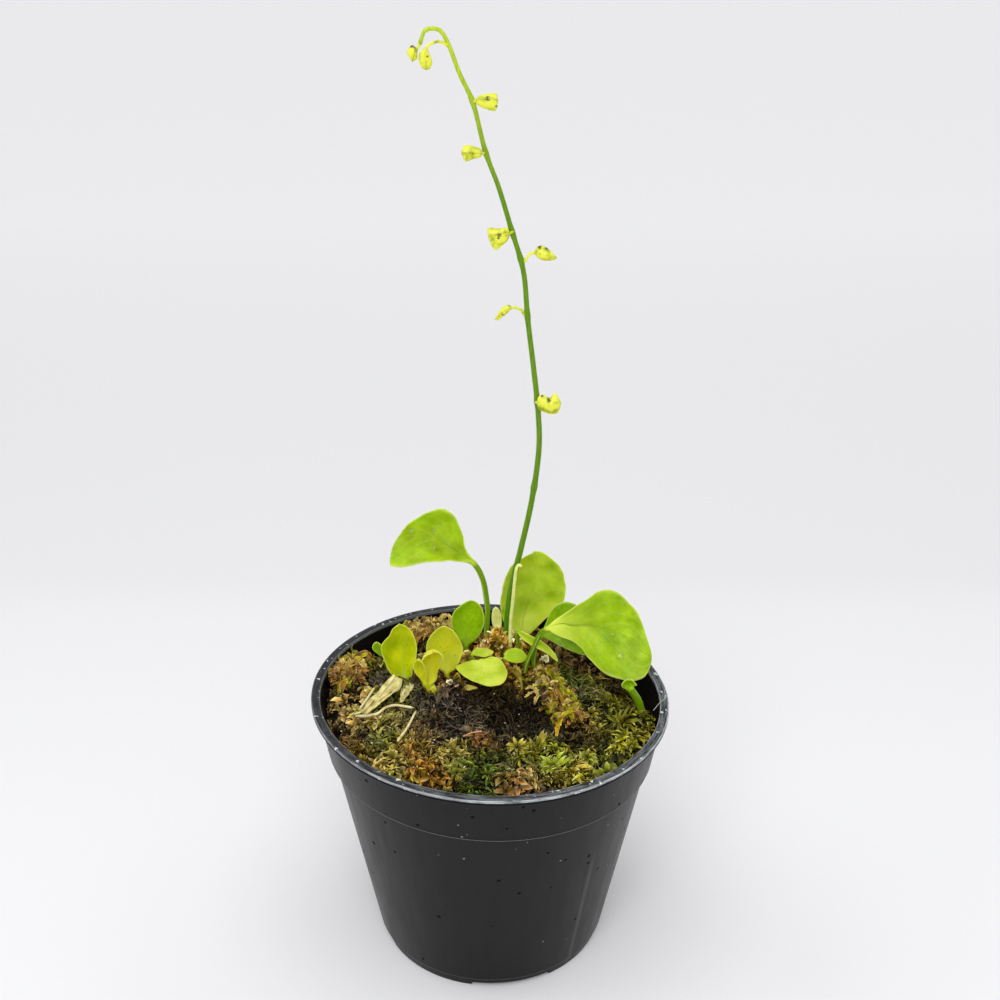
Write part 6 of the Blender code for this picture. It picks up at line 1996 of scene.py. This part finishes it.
def paper_floor(settings):
    """Matt studio paper: nearly white around the pot, and a paler grey behind a soft line.

    The grey behind the line is painted shade, and the lighter paper far behind is painted light, for how
    the light falls on a backdrop.
    """
    made, tree, shader = shaded("studio_paper")
    place = add(tree, "ShaderNodeTexCoord").outputs["Object"]
    depth = add(tree, "ShaderNodeSeparateXYZ", {0: place}).outputs["Y"]
    line = {"Value": depth, "From Min": 0.16, "From Max": 0.205}
    line = add(tree, "ShaderNodeMapRange", line, interpolation_type="SMOOTHSTEP")
    away = add(tree, "ShaderNodeMapRange", {"Value": depth, "From Min": 0.2, "From Max": 0.9})
    behind = {0: away.outputs[0], 6: tuple(settings.behind), 7: tuple(settings.distance)}
    behind = add(tree, "ShaderNodeMix", behind, data_type="RGBA")
    back = add(tree, "ShaderNodeMapRange", {"Value": depth, "From Min": -0.08, "From Max": 0.15})
    front = {0: back.outputs[0], 6: tuple(settings.floor), 7: tuple(settings.floor_far)}
    front = add(tree, "ShaderNodeMix", front, data_type="RGBA")
    base = {0: line.outputs[0], 6: front.outputs[2], 7: behind.outputs[2]}
    base = add(tree, "ShaderNodeMix", base, data_type="RGBA")
    links = {"Base Color": base.outputs[2], "Roughness": 0.9, "Specular IOR Level": 0.0}
    plug(tree, shader, links)
    return made


def build_floor(settings):
    bm = bmesh.new()
    bmesh.ops.create_circle(bm, cap_ends=True, segments=96, radius=FLOOR_RADIUS_M)
    floor = put("studio_floor", from_bmesh("studio_floor", bm))
    floor.data.materials.append(paper_floor(settings))


def build_sky(settings):
    """Even pale light from all round; the camera and reflections see the paper's far colour there."""
    world = bpy.data.worlds.new("pale_studio")
    bpy.context.scene.world = world
    world.use_nodes = True
    tree = world.node_tree
    tree.nodes.clear()
    light = add(tree, "ShaderNodeBackground", {"Color": (1, 1, 1, 1), "Strength": settings.sky_strength})
    seen = add(tree, "ShaderNodeBackground", {"Color": tuple(settings.seen), "Strength": 1.0})
    rays = add(tree, "ShaderNodeLightPath").outputs
    is_seen = rays["Is Camera Ray"]
    for ray in ("Is Glossy Ray", "Is Transmission Ray"):
        is_seen = add(tree, "ShaderNodeMath", {0: is_seen, 1: rays[ray]}, operation="MAXIMUM").outputs[0]
    both = add(tree, "ShaderNodeMixShader", {0: is_seen, 1: light.outputs[0], 2: seen.outputs[0]})
    add(tree, "ShaderNodeOutputWorld", {0: both.outputs[0]})


def build_lamp(name, kind, place, aim, energy, size):
    data = bpy.data.lights.new(name, kind)
    data.energy = energy
    if kind == "AREA":
        data.shape = "RECTANGLE"
        data.size, data.size_y = size[0] * MM, size[1] * MM
    else:
        data.angle = math.radians(size[0])
    lamp = put(name, data)
    lamp.location = Vector(place) * MM
    lamp.visible_camera = False
    lamp.rotation_mode = "QUATERNION"
    lamp.rotation_quaternion = (Vector(aim) - Vector(place)).to_track_quat("-Z", "Y")


def build_camera(settings):
    data = bpy.data.cameras.new("studio_camera")
    data.lens = settings.lens
    data.sensor_width = 36.0
    data.clip_start, data.clip_end = 0.01, 50.0
    camera = put("studio_camera", data)
    camera.location = Vector(CAMERA_PLACE) * MM
    camera.rotation_euler = (CAMERA_TILT, 0, 0)
    bpy.context.scene.camera = camera


# ---------------------------------------------------------------- operators


def moss_palette(settings):
    return {name: tuple(getattr(settings, name)) for name in MOSS_COLOURS}


class PLANT_OT_stage(bpy.types.Operator):
    """Builds the floor, the sky, the lamps and the camera"""

    bl_idname = "plant.stage"
    bl_label = "Stage"

    def execute(self, context):
        settings = context.scene.plant_stage
        context.scene.view_settings.view_transform = "Standard"
        build_floor(settings)
        build_sky(settings)
        for lamp in LAMPS:
            build_lamp(*lamp)
        build_camera(settings)
        return {"FINISHED"}


class PLANT_OT_pot(bpy.types.Operator):
    """Builds the nursery pot"""

    bl_idname = "plant.pot"
    bl_label = "Pot"

    def execute(self, context):
        settings = context.scene.plant_pot
        mesh = pot_mesh(settings)
        place_piece("nursery_pot_wall", mesh, moulded_polypropylene(settings), "pot_plastic", "nursery_pot")
        return {"FINISHED"}


class PLANT_OT_moss(bpy.types.Operator):
    """Builds the wet ground in the pot and grows the moss on it"""

    bl_idname = "plant.moss"
    bl_label = "Moss"

    def execute(self, context):
        settings = context.scene.plant_moss
        finish = moss_leaflets(settings)
        place_piece("moss_ground", moss_ground_mesh(), wet_peat(settings), "sphagnum", "moss_bed")
        field = growth_field(moss_palette(settings))
        for growth, *plan in (
            # growth, spacing, smallest, largest, tilt
            ("star", settings.star_spacing / MM, 0.6, 1.1, 35),
            ("plume", 2.7, 0.65, 1.15, 40),
            ("curl", 2.1, 0.55, 1.1, 50),
            ("fibre", 1.45, 0.6, 1.1, 30),
            ("mat", settings.mat_spacing / MM, 0.6, 1.1, 50),
        ):
            mesh = grow(f"moss_{growth}", field, growth, finish, *plan, settings.seed)
            keep_in_pot(mesh)
            place_piece(f"moss_{growth}_heads", mesh, finish, "sphagnum")
        place_piece("grit", grain_mesh(GRIT_GRAINS, settings.seed), quartz_grit(), "sphagnum")
        return {"FINISHED"}


class PLANT_OT_dry_moss(bpy.types.Operator):
    """Builds the three lumps of loose dry moss"""

    bl_idname = "plant.dry_moss"
    bl_label = "Dry moss"

    def execute(self, context):
        settings = context.scene.plant_moss
        palette = moss_palette(settings)
        finish = moss_leaflets(settings)
        colours = {
            "dry_moss_clump": ("brown", "olive", "olive", "brown"),
            "rear_moss_clump": ("tan", "brown", "tan"),
            "left_moss_clump": ("brown", "brown", "olive"),
        }
        for seed, (name, run) in enumerate(colours.items()):
            mesh = lump_mesh(name, palette, run, 20 + seed, finish)
            place_piece(mesh.name, mesh, finish, "dry_moss", name)
        place_piece("leaf_litter", litter_mesh(palette, 5), finish, "dry_moss")
        return {"FINISHED"}


class PLANT_OT_leaves(bpy.types.Operator):
    """Builds the living spoon leaves"""

    bl_idname = "plant.leaves"
    bl_label = "Leaves"

    def execute(self, context):
        settings = context.scene.plant_leaf
        green = living_leaf("grown_leaf", tuple(settings.green), tuple(settings.deep))
        young = living_leaf("young_leaf_skin", tuple(settings.young), tuple(settings.young_deep))
        for node in LEAVES:
            if node in OLD_LEAVES or node == "pale_sheath":
                continue
            mesh = toned(node, blade_mesh(f"{node}_blade", leaf_blade(node), settings.thickness / MM))
            if node in YOUNG:
                place_piece(mesh.name, mesh, young, "young_leaf", node.replace("_fold", "_leaf"))
            else:
                place_piece(mesh.name, mesh, green, "leaf_green", node)
        return {"FINISHED"}


class PLANT_OT_scape(bpy.types.Operator):
    """Builds the flower stalk"""

    bl_idname = "plant.scape"
    bl_label = "Scape"

    def execute(self, context):
        finish = green_stalk(context.scene.plant_leaf)
        place_piece("flower_scape_skin", scape_mesh(), finish, "scape_green", "flower_scape")
        return {"FINISHED"}


class PLANT_OT_calyces(bpy.types.Operator):
    """Builds the calyces and the two nodding buds"""

    bl_idname = "plant.calyces"
    bl_label = "Calyces"

    def execute(self, context):
        finish = calyx_skin(context.scene.plant_leaf)
        for node, pod in PODS.items():
            place_piece(f"{node}_sepals", pod_mesh(f"{node}_sepals", pod), finish, "calyx_yellow", node)
        return {"FINISHED"}


class PLANT_OT_old_growth(bpy.types.Operator):
    """Builds the dry stalk, the sheath, the old leaves and the stolons"""

    bl_idname = "plant.old_growth"
    bl_label = "Old growth"

    def execute(self, context):
        settings = context.scene.plant_leaf
        straw = old_tissue("bleached_tissue", tuple(settings.straw), linear("#cdb850"), 0.5)
        olive = old_tissue("dying_leaf", linear("#b4a632"), linear("#7c6020"), 0.45)
        dark = old_tissue("dead_runner", linear("#3d2c17"), linear("#1c130a"), 0.5)
        sheath = old_tissue("pale_sheath_skin", linear("#fdffa6"), linear("#e2e97c"), 0.45)
        withered = old_tissue("withered_skin", linear("#f4e8a2"), linear("#a08e34"), 0.4)
        for node in OLD_LEAVES:
            blade, thickness = leaf_blade(node), settings.thickness / MM
            mesh = blade_mesh(f"{node}_blade", blade, thickness, sides=18, rows=34, stem_rows=10)
            place_piece(mesh.name, mesh, olive, "old_leaf", node)
        strips = [strap_mesh("withered_strip", *strip) for strip in WITHERED]
        path = smooth_path(planted_stem(WITHERED_FOOT, WITHERED[0][0][1:3]), 30)
        strips.append(tube_mesh("withered_stem", path, lambda t: 0.4))
        mesh = join("withered_leaf_strips", strips)
        place_piece(mesh.name, mesh, withered, "straw", "withered_leaf")
        blade = leaf_blade("pale_sheath")
        mesh = blade_mesh("pale_sheath_blade", blade, 0.5, sides=18, rows=34, stem_rows=14)
        place_piece(mesh.name, mesh, sheath, "straw", "pale_sheath")
        path = smooth_path(planted_stem(DRY_STALK_FOOT, DRY_STALK_ROUTE), 90)
        mesh = tube_mesh("dry_stalk_skin", path, lambda t: mix(0.5, 0.4, t), sides=12)
        place_piece(mesh.name, mesh, sheath, "straw", "dry_stalk")
        path = smooth_path(planted_stem(DARK_RUNNER_FOOT, DARK_RUNNER_ROUTE), 50)
        mesh = tube_mesh("dark_runner_skin", path, lambda t: mix(0.26, 0.2, t), sides=8)
        place_piece(mesh.name, mesh, dark, "old_leaf", "dark_runner")
        for node, (places, radius) in STOLONS.items():
            place_piece(f"{node}_skin", stolon_mesh(f"{node}_skin", places, radius), straw, "straw", node)
        return {"FINISHED"}


class PLANT_OT_drops(bpy.types.Operator):
    """Builds the drops of water and the loose threads"""

    bl_idname = "plant.drops"
    bl_label = "Drops and threads"

    def execute(self, context):
        settings = context.scene.plant_leaf
        places = []
        for name, drops in DROPS.items():
            blade = leaf_blade(name)
            for s, t, radius in drops:
                centre, normal = blade.surface(s, t)
                places.append((centre + normal * (settings.thickness / MM / 2), normal, radius))
        mesh = drop_mesh(places + scattered_drops(SMALL_DROPS, 5))
        place_piece("water_drops", mesh, clear_water(), "leaf_green")
        hair = old_tissue("loose_hair", linear("#cfccc4"), linear("#a39d90"), 0.6)
        twig = old_tissue("pink_twig", linear("#e8b890"), linear("#b07a5a"), 0.5)
        mesh = tube_mesh("rim_hair", smooth_path(HAIR[0], 40), lambda t: HAIR[1], sides=6)
        place_piece(mesh.name, mesh, hair, "straw")
        twigs = [tube_mesh("twig", smooth_path(points, 24), lambda t, r=r: r, sides=6) for points, r in TWIGS]
        place_piece("moss_twigs", join("moss_twigs", twigs), twig, "straw")
        return {"FINISHED"}


class PLANT_PT_panel(bpy.types.Panel):
    """Lists the plant's operators and settings"""

    bl_idname = "PLANT_PT_panel"
    bl_label = "Potted bladderwort"
    bl_space_type = "VIEW_3D"
    bl_region_type = "UI"
    bl_category = "Plant"

    def draw(self, context):
        for name in STEPS:
            self.layout.operator(f"plant.{name}")
        for name in SETTINGS:
            box = self.layout.box()
            settings = getattr(context.scene, name)
            for key in settings.__annotations__:
                box.prop(settings, key)


STEPS = ("stage", "pot", "moss", "dry_moss", "leaves", "scape", "calyces", "old_growth", "drops")
SETTINGS = {
    "plant_pot": PotSettings,
    "plant_moss": MossSettings,
    "plant_leaf": LeafSettings,
    "plant_stage": StageSettings,
}
CLASSES = (
    *SETTINGS.values(),
    PLANT_OT_stage,
    PLANT_OT_pot,
    PLANT_OT_moss,
    PLANT_OT_dry_moss,
    PLANT_OT_leaves,
    PLANT_OT_scape,
    PLANT_OT_calyces,
    PLANT_OT_old_growth,
    PLANT_OT_drops,
    PLANT_PT_panel,
)


def register():
    for cls in CLASSES:
        bpy.utils.register_class(cls)
    for name, cls in SETTINGS.items():
        setattr(bpy.types.Scene, name, PointerProperty(type=cls))


def unregister():
    for name in SETTINGS:
        delattr(bpy.types.Scene, name)
    for cls in reversed(CLASSES):
        bpy.utils.unregister_class(cls)


def main():
    register()
    for name in STEPS:
        getattr(bpy.ops.plant, name)()


if __name__ == "__main__":
    main()
